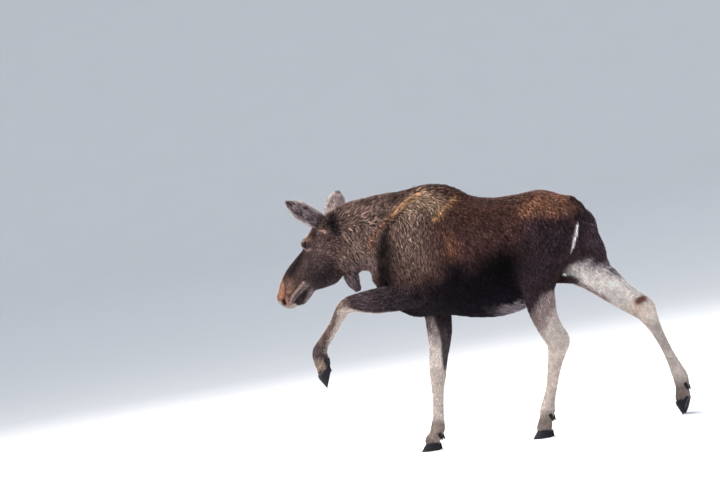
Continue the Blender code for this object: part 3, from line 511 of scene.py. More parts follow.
def coat_of(p, W):
    """Depth of the coat, length of its locks, their width, and how many to the square metre."""
    x, y, z = p.T
    w = dict(zip(GN, W))
    s, n = head_st(p)
    one = np.ones(len(p))
    top, low = step(z, 1.42, 1.60), step(-z, -1.0, -.82)
    back = step(y, .45, .75)
    limb = lambda a, b: step(-z, -a, -b)
    V = {"trunk": (.017+.010*top*(1-back)+.004*low, .033+.010*top*(1-back)+.016*low, .0040+.0008*low, 25400*one),
         "crest": (.028-.012*step(y, .30, .60), .070-.034*step(y, .20, .50), .0058-.0014*step(y, .20, .50), 22000*one),
         "neck": (.022*one, .040*one, .0042*one, 26000*one),
         "arm": (.013*one, .028*one, .0040*one, 24000*one)}
    lf = step(-y, .12, .42)
    V["lf"] = (.0095-.0050*lf, .026-.012*lf, .0042-.0009*lf, 24000+10000*lf)
    for g in ("rf", "hl", "hr"):
        t = limb(.95, .62)
        V[g] = (.0105-.0060*t, .030-.016*t, .0044-.0010*t, 22000+11000*t)
    V["tail"] = (.010*one, .045*one, .0050*one, 36000*one)
    V["bell"] = (.013*one, .065*one, .0048*one, 42000*one)
    f = step(s, .02, .45)
    V["head"] = (.0120-.0082*f, .027-.0175*f, .0041-.0014*f, 36000+26000*f)
    return [sum(w[g]*V[g][k] for g in GN) for k in range(4)]

# ---------------------------------------------------------------- markings
def srgb(r, g, b):
    c = np.array([r, g, b])/255.
    return np.where(c < .04045, c/12.92, ((c+.055)/1.055)**2.4)

def spot(p, c, r, side=True):
    """A soft patch centred at c with half sizes r; on both sides of the body unless told otherwise."""
    q = p-np.asarray(c, float)
    if side:
        q[:, 0] = np.abs(p[:, 0])-abs(c[0])
    return np.exp(-((q/np.asarray(r, float))**2).sum(1))

def paint(col, new, k):
    k = np.clip(k, 0, 1)[:, None]
    return col*(1-k)+new*k

def polyline(a, b, pts):
    """Distance in the (a, b) plane to a line through pts, and how far along it."""
    d, t = np.full(len(a), 9.), np.zeros(len(a))
    for i in range(len(pts)-1):
        (p0, q0), (p1, q1) = pts[i], pts[i+1]
        u, v = p1-p0, q1-q0
        k = np.clip(((a-p0)*u+(b-q0)*v)/(u*u+v*v), 0, 1)
        r = np.hypot(a-p0-k*u, b-q0-k*v)
        m = r < d
        d[m], t[m] = r[m], (i+k[m])/(len(pts)-1)
    return d, t

def line3(p, pts, side=True):
    """Distance to a line through points of the body, on both sides of it."""
    q = p.copy()
    if side:
        q[:, 0] = np.abs(q[:, 0])
    d, t = np.full(len(p), 9.), np.zeros(len(p))
    pts = np.asarray(pts, float)
    for i in range(len(pts)-1):
        ab = pts[i+1]-pts[i]
        v = q-pts[i]
        k = np.clip((v@ab)/(ab@ab), 0, 1)
        r = np.linalg.norm(v-k[:, None]*ab, axis=1)
        m = r < d
        d[m], t[m] = r[m], (i+k[m])/(len(pts)-1)
    return d, t

def soft(d, r):
    return np.exp(-(d/r)**2)

def head_colours(p, s, n):
    ax = np.abs(p[:, 0])
    side = step(ax, .012, .040)
    h = np.tile(srgb(76, 61, 60), (len(p), 1))
    h = paint(h, srgb(73, 58, 52), .8*step(-s, -.20, -.05))
    h = paint(h, srgb(92, 76, 74), .5*spot(p, hp(.11, .19, -.12), (.08, .07, .07)))
    h = paint(h, srgb(28, 21, 20), .9*spot(p, hp(.09, .190, .002), (.06, .060, .038)))
    h = paint(h, srgb(20, 15, 18), .88*soft(polyline(s, n, [(.36, .026), (.44, .020), (.505, .024)])[0], .036))
    h = paint(h, srgb(38, 29, 31), .75*step(n, .03, .055)*step(s, .30, .38)*(1-step(s, .55, .60)))
    h = paint(h, srgb(34, 29, 35), .95*soft(polyline(s, n, [(.27, -.225), (.33, -.215), (.40, -.190), (.46, -.155)])[0], .056))
    h = paint(h, srgb(22, 18, 24), .8*soft(polyline(s, n, [(.235, -.200), (.285, -.238), (.330, -.262)])[0], .013))
    h = paint(h, srgb(66, 54, 57), .7*step(-n, .080, .115)*step(s, .40, .50))
    h = paint(h, srgb(98, 80, 79), .6*spot(p, hp(.10, .265, -.120), (.08, .06, .05)))
    # nose: warm front, tan pad behind a groove, dark wrinkle, pale lip edges; painted highlight along its top ridge and
    # painted rim light along its front edge and under the chin
    groove = np.interp(n, [-.055, -.035, -.019, .007, .030, .055], [.668, .655, .638, .609, .582, .570])
    h = paint(h, srgb(84, 58, 52), .55*step(s, .500, .545)*(1-step(-n, .050, .066)))
    h = paint(h, srgb(122, 98, 86), .95*spot(p, hp(.070, .570, -.012), (.06, .034, .030)))
    h = paint(h, srgb(136, 99, 86), .9*spot(p, hp(.070, .610, -.030), (.06, .038, .020)))
    front = step(s-groove, -.002, .010)
    h = paint(h, srgb(132, 94, 76), .96*front)
    # painted highlight over the warm muzzle: paler line along its top ridge
    h = paint(h, srgb(172, 132, 106), .6*front*soft(polyline(s, n, [(.60, .038), (.645, .018), (.668, .004)])[0], .012))
    h = paint(h, srgb(150, 104, 82), .5*front*soft(n-.055, .02)*step(s, .60, .66))
    h = paint(h, srgb(150, 118, 106), .9*front*step(-n, .034, .046))
    h = paint(h, srgb(60, 34, 30), .88*side*soft(s-groove, .0055)*step(-n, -.03, -.01)*step(n, -.038, -.026))
    h = paint(h, srgb(154, 114, 98), .92*spot(p, hp(.070, .652, -.037), (.05, .026, .014)))
    h = paint(h, srgb(34, 20, 20), .95*side*soft(polyline(s, n, [(.480, -.080), (.530, -.065), (.575, -.056), (.617, -.047), (.640, -.044)])[0], .0062))
    d, t = polyline(s, n, [(.508, -.085), (.568, -.072), (.622, -.062), (.668, -.068)])
    h = paint(h, srgb(164, 142, 134), .92*soft(d, .0105))
    h = paint(h, srgb(150, 104, 92), .6*spot(p, hp(.07, .530, -.078), (.06, .014, .007)))
    h = paint(h, srgb(140, 122, 120), .7*spot(p, hp(.066, .515, -.100), (.05, .030, .018)))
    h = paint(h, srgb(43, 37, 42), .97*soft(polyline(s, n, [(.560, -.124), (.600, -.113), (.635, -.100)])[0], .020)*step(s, .52, .545))
    # pale hair with painted rim light over it: pale edge under the chin
    h = paint(h, srgb(132, 120, 121), .85*step(-n, .132, .144)*step(s, .50, .54))
    h = paint(h, srgb(150, 138, 138), .8*step(s, .655, .668)*step(-n, .095, .110))
    h = paint(h, srgb(140, 126, 124), .70*soft(polyline(s, n, [(.540, -.104), (.605, -.0865), (.648, -.081)])[0], .0050))
    # pale hair with painted rim light over it: pale edge round the front of the nose and upper lip
    h = paint(h, srgb(182, 172, 168), .95*soft(polyline(s, n, [(.706, .006), (.716, -.030), (.712, -.060), (.694, -.086), (.668, -.094)])[0], .0090)*step(s, .655, .67))
    # brow, lids and the slit before the eye
    h = paint(h, srgb(128, 100, 82), .75*spot(p, hp(.109, .240, .020), (.03, .022, .018)))
    h = paint(h, srgb(168, 146, 132), .75*soft(polyline(s, n, [(.186, .048), (.233, .050), (.272, .044)])[0], .0080)*step(ax, .03, .06))
    h = paint(h, srgb(58, 42, 42), .75*spot(p, hp(.062, .177, .035), (.03, .020, .016)))
    h = paint(h, srgb(124, 118, 121), .55*spot(p, hp(.096, .172, -.016), (.03, .009, .008)))
    h = paint(h, srgb(92, 66, 70), .6*spot(p, hp(.101, .200, -.030), (.03, .016, .012)))
    h = paint(h, srgb(84, 60, 64), .9*spot(p, hp(.109, .280, .008), (.03, .026, .022)))
    h = paint(h, srgb(172, 150, 138), .9*soft(polyline(s, n, [(.302, .026), (.310, .004), (.300, -.018), (.284, -.026)])[0], .0060)*step(ax, .07, .085))
    h = paint(h, srgb(60, 48, 48), .6*spot(p, hp(.094, .328, -.004), (.03, .018, .006)))
    return h

def markings(p, W):
    """The coat's colour (linear), how pale its tips are, and how much one lock differs from the next."""
    x, y, z = p.T
    w = dict(zip(GN, W))
    s, n = head_st(p)
    ax = np.abs(x)
    mott = vnoise(p/.055)-.5
    mott2 = vnoise(p/.021+7)-.5
    big = vnoise(p/.11+3)-.5
    zz = z+.06*mott+.05*big
    # trunk: warm back, dark flank, grey shoulder
    c = np.tile(srgb(66, 45, 41), (len(p), 1))
    c = paint(c, srgb(111, 76, 63), step(zz+.07*step(y, .98, 1.12), 1.35, 1.45)*(1-.45*step(z, 1.475, 1.535))*step(y+.05*mott2, .82, .96))
    c = paint(c, srgb(66, 42, 36), .85*step(zz, 1.36, 1.47)*step(y, .44, .52)*(1-step(y, .74, .88)))
    c = paint(c, srgb(72, 52, 51), .8*step(-ax, -.060, -.015)*step(z, 1.48, 1.52)*step(y, .62, .75))
    c = paint(c, srgb(70, 48, 46), step(-zz, -1.42, -1.28))
    c = paint(c, srgb(19, 15, 23), step(-zz-.10*step(-y, -.36, -.20), -1.25, -1.07))
    c = paint(c, srgb(77, 58, 54), .95*step(-y, -.40, -.22)*step(zz, 1.02, 1.20))
    c = paint(c, srgb(103, 84, 76), .95*spot(p, (.2, .135, 1.35), (.3, .110, .25)))
    c = paint(c, srgb(112, 92, 82), .9*spot(p, (.14, .17, 1.53), (.2, .12, .085)))
    c = paint(c, srgb(156, 131, 111), .88*np.clip(1.3*soft(line3(p, [(.139, .133, 1.586), (.104, .195, 1.618), (.114, .262, 1.596), (.127, .327, 1.555)])[0], .052), 0, 1))
    patchy = np.clip(.30+1.5*vnoise(p/np.array([.016, .010, .030])+21), 0, 1.3)
    c = paint(c, srgb(156, 118, 84), .66*patchy*soft(line3(p, [(.190, .335, 1.475), (.142, .390, 1.526), (.080, .442, 1.578)])[0], .024))
    # rust-coloured coat with painted glints of light: orange streaks behind the shoulder
    c = paint(c, srgb(138, 93, 68), .40*patchy*soft(line3(p, [(.255, .420, 1.35), (.265, .428, 1.30), (.265, .418, 1.24)])[0], .036))
    # warm coat with a painted highlight over it on the top of the haunch
    c = paint(c, srgb(132, 92, 68), .45*spot(p, (.21, 1.0, 1.43), (.15, .13, .05)))
    # painted shade over the dark coat: near black in the hollow of the lower flank
    c = paint(c, srgb(2, 2, 3), .97*spot(p, (.26, .74, 1.13), (.2, .17, .13)))
    c = paint(c, srgb(17, 12, 17), .9*spot(p, (.24, .42, 1.02), (.2, .22, .10)))
    # haunch
    c = paint(c, srgb(49, 37, 42), step(y, .84, .98)*step(-zz, -1.44, -1.25))
    # belly fringe, and painted shade in the groin
    c = paint(c, srgb(138, 128, 134), .62*step(-z+.07*mott2+.03*mott, -.885, -.835)*step(y, .50, .72)*(1-step(y, .90, 1.0)))
    # painted shade: dark brown-red in the groin between the hind legs
    c = paint(c, srgb(58, 40, 40), .9*step(-ax, -.14, -.08)*step(-z, -1.06, -.97)*step(y, .84, .92))
    # crest: grizzled, with a darker line along the top
    k = w["crest"]*(1-step(y, .30, .50))
    c = paint(c, srgb(59, 46, 40), k*(1-.75*step(y, .05, .2)))
    c = paint(c, srgb(52, 36, 34), .85*soft(line3(p, [(.040, .22, 1.70), (.043, .115, 1.665), (.072, .060, 1.640), (.068, -.01, 1.643), (.084, -.060, 1.622)])[0], .036))
    c = paint(c, srgb(56, 41, 36), .8*step(-ax, -.036, -.010)*step(z, 1.50, 1.58)*step(y, -.36, -.24)*(1-step(y, .75, .95)))
    # neck
    k = w["neck"]*(1-step(y, -.06, .06))
    c = paint(c, srgb(98, 80, 73), k)
    c = paint(c, srgb(82, 65, 59), .7*k*step(z-.2*(y+.2), 1.56, 1.63))
    c = paint(c, srgb(92, 76, 76), .7*k*step(-z, -1.34, -1.24))
    # dark hollow before the shoulder: the coat's dark colour there with painted shade of the groove over it, gold
    # streaks above it with a painted shadow line beside them, and a rusty edge in front
    # painted shade: near black down the groove between neck and shoulder
    d, t = line3(p, [(.163, .064, 1.525), (.178, .018, 1.480), (.194, -.016, 1.420), (.205, -.034, 1.350), (.215, -.040, 1.28), (.215, -.048, 1.22), (.175, -.070, 1.15)])
    c = paint(c, srgb(14, 10, 14), np.clip(.95+.6*mott+.5*mott2, 0, .98)*np.clip(1.02*soft(d, .018+.068*step(t, .10, .60)), 0, 1))
    # painted shadow: thin dark line at the groove's upper end, beside the gold streaks
    d, t = line3(p, [(.118, .168, 1.602), (.158, .118, 1.562), (.176, .064, 1.520)])
    c = paint(c, srgb(26, 18, 18), .80*soft(d, .011))
    gap = np.clip(.25+1.5*vnoise(p/np.array([.014, .028, .028])+41), 0, 1.3)
    for pts, r in (([(.070, .215, 1.650), (.090, .158, 1.630), (.131, .096, 1.585), (.160, .036, 1.535)], .018), ([(.104, .190, 1.618), (.128, .128, 1.596), (.150, .084, 1.567)], .011)):
        c = paint(c, srgb(166, 128, 92), .80*gap*soft(line3(p, pts)[0], r))
    c = paint(c, srgb(96, 60, 44), .72*soft(line3(p, [(.160, .036, 1.535), (.167, -.009, 1.501), (.165, -.060, 1.466), (.156, -.127, 1.419), (.148, -.155, 1.341)])[0], .013))
    c = paint(c, srgb(10, 8, 8), spot(p, (.1554, -.1235, 1.4341), (.009, .009, .008), False))
    # painted shade: dark patch low in front of the shoulder, below the groove
    c = paint(c, srgb(24, 18, 23), .9*spot(p, (.12, -.085, 1.14), (.3, .055, .085)))
    # bell
    c = paint(c, srgb(80, 69, 74), w["bell"])
    # head
    c = paint(c, head_colours(p, s, n), w["head"])
    c = paint(c, srgb(25, 21, 25), .96*np.clip(1.3*soft(line3(p, [(.075, -.392, 1.590), (.085, -.382, 1.572), (.098, -.380, 1.530), (.108, -.366, 1.485)])[0], .030), 0, 1)*step(ax, .03, .05))
    c = paint(c, srgb(206, 168, 156), .9*soft(line3(p, [(.073, -.499, 1.543), (.090, -.481, 1.523), (.097, -.462, 1.510), (.103, -.443, 1.497)])[0], .011))
    # legs
    amp = .46+0*x
    pale, warm = srgb(206, 194, 188), srgb(202, 188, 180)
    for g in ("lf", "rf", "hl", "hr"):
        k = w[g]
        m = np.nonzero(k > .01)[0]
        if not len(m):
            continue
        q = p[m]
        X, Y, Z = q.T
        nz = .04*mott[m]+.025*mott2[m]
        if g == "lf":
            t, T, ang = along(PRIMS[11], q)
            a = np.abs(np.degrees(ang))
            B = np.interp(t, [.10, .20, .34, .42, .47, .53, .58, .64, .72, .80, .85, .90], [-30, 6, 22, 42, 68, 92, 86, 66, 58, 50, 36, -10])
            speck = vnoise(q/np.array([.006, .012, .012])+13)-.5
            in_ = step(B-a+300*nz+50*speck*step(t, .46, .54), -14-16*step(t, .44, .5), 12+18*step(t, .44, .5))*(1-.45*step(speck, .18, .32)*step(t, .5, .56))
            col = np.tile(srgb(38, 32, 37), (len(m), 1))
            col = paint(col, srgb(59, 48, 52), step(t+nz, .14, .30))
            col = paint(col, srgb(104, 89, 83), step(t+nz*.6, .42, .52))
            col = paint(col, srgb(90, 75, 73), step(t+nz*.6, .56, .66))
            col = paint(col, srgb(172, 152, 138), .75*step(a, 138, 165)*step(t, .46, .54)*(1-step(t, .76, .84)))
            col = paint(col, srgb(192, 178, 171), .97*in_)
            col = paint(col, srgb(76, 64, 66), step(t+nz*.5, .80, .86)*(1-.6*in_))
            col = paint(col, srgb(146, 126, 115), .78*step(t+nz*.5, .885, .925)*step(a, 20, 60))
            col = paint(col, srgb(28, 25, 29), .9*np.clip(step(t, .985, .998)+step(t, .93, .96)*(1-step(a, 15, 60)), 0, 1))
            am = .40-.24*in_
        elif g == "rf":
            t, T, ang = along(PRIMS[12], q)
            a = np.degrees(ang)                          # 0 behind, 90 the inner side
            B = np.interp(t, [.08, .18, .27, .38, .48, .56, .66], [118, 98, 80, 60, 40, 20, -20])
            inner = step(a, -20, 20)*(1-step(a, 150, 175))
            col = np.tile(srgb(60, 49, 54), (len(m), 1))
            col = paint(col, srgb(122, 106, 106), inner*step(t+nz, .10, .19))
            col = paint(col, srgb(180, 166, 164), inner*step(t+nz, .20, .30))
            col = paint(col, pale, inner*step(t+nz, .30, .42))
            col = paint(col, srgb(110, 95, 92), (1-inner)*step(t+nz, .26, .42))
            col = paint(col, srgb(178, 162, 152), (1-inner)*step(t+nz, .44, .58))
            dark = step(B-a+200*nz, -10, 12)*step(a, -120, -60)
            col = paint(col, srgb(36, 29, 35), .92*dark*(1-step(t, .50, .58)))
            col = paint(col, warm, .8*step(t+nz, .46, .56))
            col = paint(col, srgb(118, 102, 96), .8*step(t+nz, .82, .88))
            col = paint(col, srgb(80, 68, 68), .7*step(t, .96, 1.0))
            am = .36-.20*np.clip(inner*step(t, .2, .35)+step(t, .45, .6), 0, 1)
        elif g == "hl":
            t, T, ang = along(PRIMS[14], q)
            low = step(-Z, -.96, -.90)
            zb = Z-.085*np.cos(ang)*low-.05*(1-low)*step(Y, .95, 1.1)+nz*1.4
            col = np.tile(srgb(49, 38, 43), (len(m), 1))
            col = paint(col, srgb(150, 133, 131), step(-zb, -.885, -.79))
            col = paint(col, srgb(206, 192, 186), step(-zb, -.76, -.66))
            col = paint(col, warm, step(-zb, -.62, -.52))
            col = paint(col, srgb(104, 84, 78), .45*step(mott2[m]+.5*mott[m], .10, .28)*step(Z, .58, .66)*(1-step(Z, .84, .90)))
            col = paint(col, srgb(106, 78, 68), .8*spot(q, (.130, .985, .655), (.035, .028, .028), False))
            col = paint(col, srgb(118, 102, 96), .8*step(-Z+nz, -.19, -.12))
            col = paint(col, srgb(80, 68, 68), .7*step(-Z, -.065, -.03))
            am = .40-.24*step(-zb, -.84, -.68)
        else:
            t, T, ang = along(PRIMS[16], q)
            d, _t = polyline(Y, Z, [(1.06, 1.075), (1.103, 1.054), (1.181, 1.047), (1.266, 1.012), (1.322, .974), (1.36, .94)])
            edge = np.interp(Y, [1.06, 1.103, 1.181, 1.266, 1.322, 1.40], [1.075, 1.060, 1.045, 1.008, .972, .915])
            below = edge-Z+nz*1.2
            outer = step(-X, .150, .185)
            col = np.tile(srgb(66, 53, 58), (len(m), 1))
            below = below+.05*(vnoise(q/np.array([.008, .03, .03])+5)-.5)
            col = paint(col, srgb(120, 106, 110), (1-outer)*step(below, -.045, -.005))
            col = paint(col, srgb(204, 193, 191), (1-outer)*step(below, -.012, .025))
            col = paint(col, srgb(236, 226, 220), (1-outer)*step(below, .015, .07))
            col = paint(col, srgb(146, 128, 122), outer*step(-Z+nz, -.92, -.76))
            col = paint(col, srgb(218, 203, 195), step(-Z+nz, -.80, -.68))
            col = paint(col, srgb(122, 92, 84), .75*soft(polyline(Y, Z, [(1.05, .945), (1.12, .885), (1.20, .825), (1.27, .775)])[0], .024)*(1-step(Y, 1.24, 1.32)))
            col = paint(col, srgb(216, 182, 156), .5*spot(q, (-.10, 1.455, .710), (.08, .05, .05), False))
            col = paint(col, warm, step(-Z+nz, -.66, -.56))
            col = paint(col, srgb(114, 70, 58), .97*np.clip(1.6*soft(line3(q, [(-.100, 1.466, .742), (-.104, 1.495, .755), (-.108, 1.524, .768)], False)[0], .020), 0, 1))
            col = paint(col, srgb(226, 212, 204), .7*spot(q, (-.125, 1.548, .715), (.05, .026, .05), False))
            col = paint(col, srgb(118, 102, 96), .8*step(-Z+nz, -.24, -.17))
            col = paint(col, srgb(80, 68, 68), .7*step(-Z, -.115, -.08))
            am = .40-.26*step(below, .0, .08)
        c[m] = paint(c[m], col, k[m]*1.15)
        amp[m] = amp[m]*(1-np.clip(k[m]*1.1, 0, 1))+am*np.clip(k[m]*1.1, 0, 1)
    # the dark upper arm, and painted shade in the fold at the elbow
    c = paint(c, srgb(36, 30, 35), .92*w["arm"]*step(-z, -1.13, -1.04))
    # painted shade: dark spot in the fold where the raised leg meets the chest
    c = paint(c, srgb(20, 16, 22), .8*spot(p, (.245, .125, 1.015), (.1, .030, .020)))
    # behind: dark patch at the root of the tail, dark coat partly deepened by painted shade, and the white edge of the
    # inner thigh
    # partly painted shade: dark patch round the root of the tail
    c = paint(c, srgb(26, 20, 25), .9*spot(p, (.055, 1.19, 1.345), (.05, .05, .045)))
    d, t = line3(p, [(.056, 1.217, 1.303), (.087, 1.213, 1.266), (.114, 1.202, 1.220), (.130, 1.185, 1.173), (.126, 1.162, 1.125), (.109, 1.130, 1.089)], False)
    c = paint(c, srgb(240, 232, 234), .98*np.clip(1.7*soft(d, .0022+.0082*np.sin(np.pi*np.clip(t*1.15+.08, 0, 1))), 0, 1)*(1-.55*step(t, .62, 1)))
    c = paint(c, srgb(34, 27, 32), w["tail"])
    griz = .46+.50*np.clip(w["crest"]+w["neck"], 0, 1)*(1-step(y, .1, .4))+.35*w["head"]*(1-step(s, .44, .56))+.15*spot(p, (.2, .08, 1.4), (.3, .2, .3))
    dark = step(-zz, -1.20, -1.05)*np.clip(w["trunk"]+w["hl"]+w["hr"], 0, 1)
    griz = griz*(1-.75*dark)
    amp = amp*(1-.35*dark)*(1-.35*w["head"]*step(s, .50, .60))
    c = c*(1+.40*mott[:, None]+.30*mott2[:, None]+.25*big[:, None])
    return np.clip(c, .002, .95), np.clip(griz, 0, 1), amp

# ---------------------------------------------------------------- skin
EYES = {}
for _side, _word in ((1, "left"), (-1, "right")):
    _lo, _hi = .02, .16
    for _ in range(40):
        _mid = (_lo+_hi)/2
        if field(PRIMS, hp(_side*_mid, .280, .016)[None])[0] < 0:
            _lo = _mid
        else:
            _hi = _mid
    EYES[_word] = (_side, hp(_side*(_lo-.0090), .281, .015))

def eye_frame(side):
    """Axes at the eye: out of the head, along the lid gap towards the nose, up across the lids."""
    out = unit(np.array([side*.93, 0, 0])+.26*HN+.10*HD)
    fwd = unit(.93*HD+.30*HN*-1)
    fwd = unit(fwd-(fwd@out)*out)
    up = np.cross(out, fwd)*(-side)
    if up@HN < 0:
        up = -up
    return out, fwd, up

def skin_extra():
    """What the skin adds to the body's form, and what it takes away: (shape, smoothness, strength of the painted shade
    inside it).
    """
    add, cut = [], []
    for side in (1, -1):
        out, fwd, up = eye_frame(side)
        E = EYES["left" if side > 0 else "right"][1]
        add.append(Ball(E-.002*out, (EYE_RADIUS+.0045,)*3, k=.014))
        R = np.stack([out, fwd, up])
        add.append(Ball(E+.004*out+.0150*up, (.010, .024, .0060), k=.010, rot=R))          # upper lid's fold
        add.append(Ball(E+.003*out-.0165*up, (.009, .022, .0048), k=.010, rot=R))          # lower lid
        cut.append((Ball(E+.022*out, (.024, LID_OPEN[0], LID_OPEN[1]), rot=R), .004, .96))
        cut.append((Ball(hp(side*.091, .320, .000), (.010, .022, .0035), rot=R), .006, .80))    # slit of the gland before the eye
        add.append(Tube([(*hp(side*.088, .33, -.035), .012, .012, .012), (*hp(side*.084, .40, -.060), .012, .012, .012), (*hp(side*.074, .47, -.066), .008, .008, .008)], k=.03, caps=(.012, .008)))  # face crest
        add.append(Ball(hp(side*.058, .660, -.012), (.023, .040, .032), k=.02))            # wing of the nostril
        R2 = np.stack([unit(np.array([side*.9, 0, 0])+.35*HD), unit(HD*.86-HN*.5), unit(HD*.5+HN*.86)])
        cut.append((Ball(hp(side*.076, .691, -.030), (.036, .0260, .0165), rot=R2), .006, .98))             # nostril
        cut.append((Ball(hp(side*.080, .666, -.026), (.020, .0160, .0065), rot=R2), .005, .90))
        cut.append((Tube([(*hp(side*.076, .592, .030), .0036, .0036, .0036), (*hp(side*.081, .621, -.008), .0042, .0042, .0042), (*hp(side*.080, .650, -.034), .0036, .0036, .0036)], caps=(.004, .004)), .010, .25))
        cut.append((Tube([(*hp(side*.083, .480, -.070), .0030, .0030, .0030), (*hp(side*.080, .538, -.058), .0045, .0045, .0045), (*hp(side*.079, .587, -.053), .0045, .0045, .0045), (*hp(side*.078, .640, -.047), .0036, .0036, .0036)], caps=(.004, .004)), .010, .30))
        add.append(Ball(hp(side*.040, .640, -.085), (.026, .050, .020), k=.02))            # upper lip
        lip = [(*hp(side*x, s, n), .0048, .0048, .0048) for x, s, n in ((.020, .735, -.088), (.048, .712, -.086), (.062, .665, -.078), (.070, .600, -.077), (.074, .545, -.082), (.076, .505, -.086))]
        cut.append((Tube(lip, caps=(.005, .005)), .006, .62))
        add.append(Tube([(*hp(side*.030, .655, -.112), .014, .012, .014), (*hp(side*.044, .590, -.112), .014, .012, .016), (*hp(side*.056, .520, -.118), .012, .012, .014)], k=.018, caps=(.012, .012)))   # lower lip
        eb = np.array([side*.074, -.438, 1.540])
        add.append(Ball(eb+[side*.010, -.004, .006], (.033, .033, .038), k=.035))          # root of the ear
    cut.append((Tube([(*hp(0, .735, -.088), .0048, .0048, .0048), (*hp(.0001, .7349, -.089), .0048, .0048, .0048)], caps=(.02, .02)), .006, .62))
    return add, cut

ADD, CUT = skin_extra()

def skin_field(p, depth):
    f = field(PRIMS, p)+depth
    for q in ADD:
        m = np.nonzero(np.all((p > q.lo-q.k-.02) & (p < q.hi+q.k+.02), axis=1))[0]
        if len(m):
            f[m] = smin(f[m], q.dist(p[m])+.0035, q.k)
    for q, k, _ in CUT:
        m = np.nonzero(np.all((p > q.lo-k-.02) & (p < q.hi+k+.02), axis=1))[0]
        if len(m):
            f[m] = -smin(-f[m], q.dist(p[m]), k)
    return f

def axis_of(a, b, c, d, coarse, fine):
    n1, n2, n3 = (max(1, int(round((v-u)/h))) for u, v, h in ((a, b, coarse), (b, c, fine), (c, d, coarse)))
    return np.concatenate([np.linspace(a, b, n1, endpoint=False), np.linspace(b, c, n2, endpoint=False), np.linspace(c, d, n3+1)])

def skin_mesh():
    """Surface nets on an uneven grid, fine on the head; every vertex is then drawn onto the skin's surface."""
    X = axis_of(-.42, -.128, .128, .42, COARSE, FINE)
    Y = axis_of(-.98, -.900, -.36, 1.80, COARSE, FINE)
    Z = axis_of(-.02, 1.06, 1.62, 1.76, COARSE, FINE)
    h = .024
    lo = np.array([-.46, -1.02, -.06])
    C, lo = grid_field(PRIMS, lo, np.array([.46, 1.86, 1.82]), h)
    ax = (X, Y, Z)
    G = C
    for i in range(3):                                   # spread the coarse field to the uneven grid
        t = (ax[i]-lo[i])/h
        k = np.clip(t.astype(int), 0, G.shape[i]-2)
        f = (t-k).reshape([-1 if j == i else 1 for j in range(3)])
        G = np.take(G, k, axis=i)*(1-f)+np.take(G, k+1, axis=i)*f
    I, J, K = np.nonzero(np.abs(G+.008) < .034)
    q = np.stack([X[I], Y[J], Z[K]], 1)
    G[I, J, K] = skin_field(q, .008)
    pos, quads = surface_nets(G, np.zeros(3), 1.0)       # in grid steps
    p = np.stack([np.interp(pos[:, i], np.arange(len(ax[i])), ax[i]) for i in range(3)], 1)
    d = depth_at(p)
    for _ in range(5):
        fx, g = grad(lambda r: skin_field(r, d), p, 4e-4)
        p = p-np.clip(fx/np.maximum((g*g).sum(1), .3), -.006, .006)[:, None]*g
    tri = np.concatenate([quads[:, [0, 1, 2]], quads[:, [0, 2, 3]]])
    return p, tri

def depth_at(p):
    out = np.empty(len(p))
    for a in range(0, len(p), 200000):
        q = p[a:a+200000]
        out[a:a+200000] = coat_of(q, weights(q))[0]
    return out

# ---------------------------------------------------------------- meshes in Blender
def make_mesh(name, v, f, smooth=True):
    """A mesh object from points and triangles, moved into the frame's coordinates."""
    v, f = np.asarray(v, float)-ORIGIN, np.asarray(f)
    me = bpy.data.meshes.new(name)
    me.vertices.add(len(v))
    me.loops.add(f.size)
    me.polygons.add(len(f))
    me.vertices.foreach_set("co", v.astype(np.float32).ravel())
    me.loops.foreach_set("vertex_index", f.astype(np.int32).ravel())
    me.polygons.foreach_set("loop_start", np.arange(0, f.size, 3, dtype=np.int32))
    me.polygons.foreach_set("loop_total", np.full(len(f), 3, dtype=np.int32))
    me.update(calc_edges=True)
    me.polygons.foreach_set("use_smooth", np.full(len(f), smooth))
    ob = bpy.data.objects.new(name, me)
    bpy.context.scene.collection.objects.link(ob)
    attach(ob, "root")
    return ob

def put_colour(ob, name, c):
    a = ob.data.color_attributes.new(name, "FLOAT_COLOR", "POINT")
    rgba = np.ones((len(c), 4), np.float32)
    rgba[:, :3] = c
    a.data.foreach_set("color", rgba.ravel())

def put_vector(ob, name, v):
    a = ob.data.attributes.new(name, "FLOAT_VECTOR", "POINT")
    a.data.foreach_set("vector", np.asarray(v, np.float32).ravel())

def put_uv(ob, uv_corner):
    a = ob.data.uv_layers.new(name="OFBake")
    a.data.foreach_set("uv", np.asarray(uv_corner, np.float32).ravel())

# ---------------------------------------------------------------- unwrap of the skin's own shape
def chart_uv(kind, p):
    """(round the part, along the part) for points p on one part of the body."""
    x, y, z = p.T
    if kind in ("trunk", "neck"):
        zc = np.interp(y, [-.4, -.1, .1, .9, 1.15], [1.42, 1.40, 1.25, 1.22, 1.25])
        return np.arctan2(x, z-zc)/np.pi, y
    if kind == "head":
        s, n = head_st(p)
        nc = np.interp(s, [0, .3, .65], [-.10, -.09, -.03])
        return np.arctan2(x, n-nc)/np.pi, s
    i = {"lf": 11, "rf": 12, "tail": 17, "bell": 22}.get(kind)
    if kind in ("hl", "hr"):
        a, b = (13, 14) if kind == "hl" else (15, 16)
        t1, T, g1 = along(PRIMS[a], p)
        t2, T, g2 = along(PRIMS[b], p)
        low = z < .97
        return np.where(low, g2, g1)/np.pi, np.where(low, .97+1.0*(.97-z), 1.94-.97-(z-.97))
    t, T, g = along(PRIMS[i], p)
    return g/np.pi, t

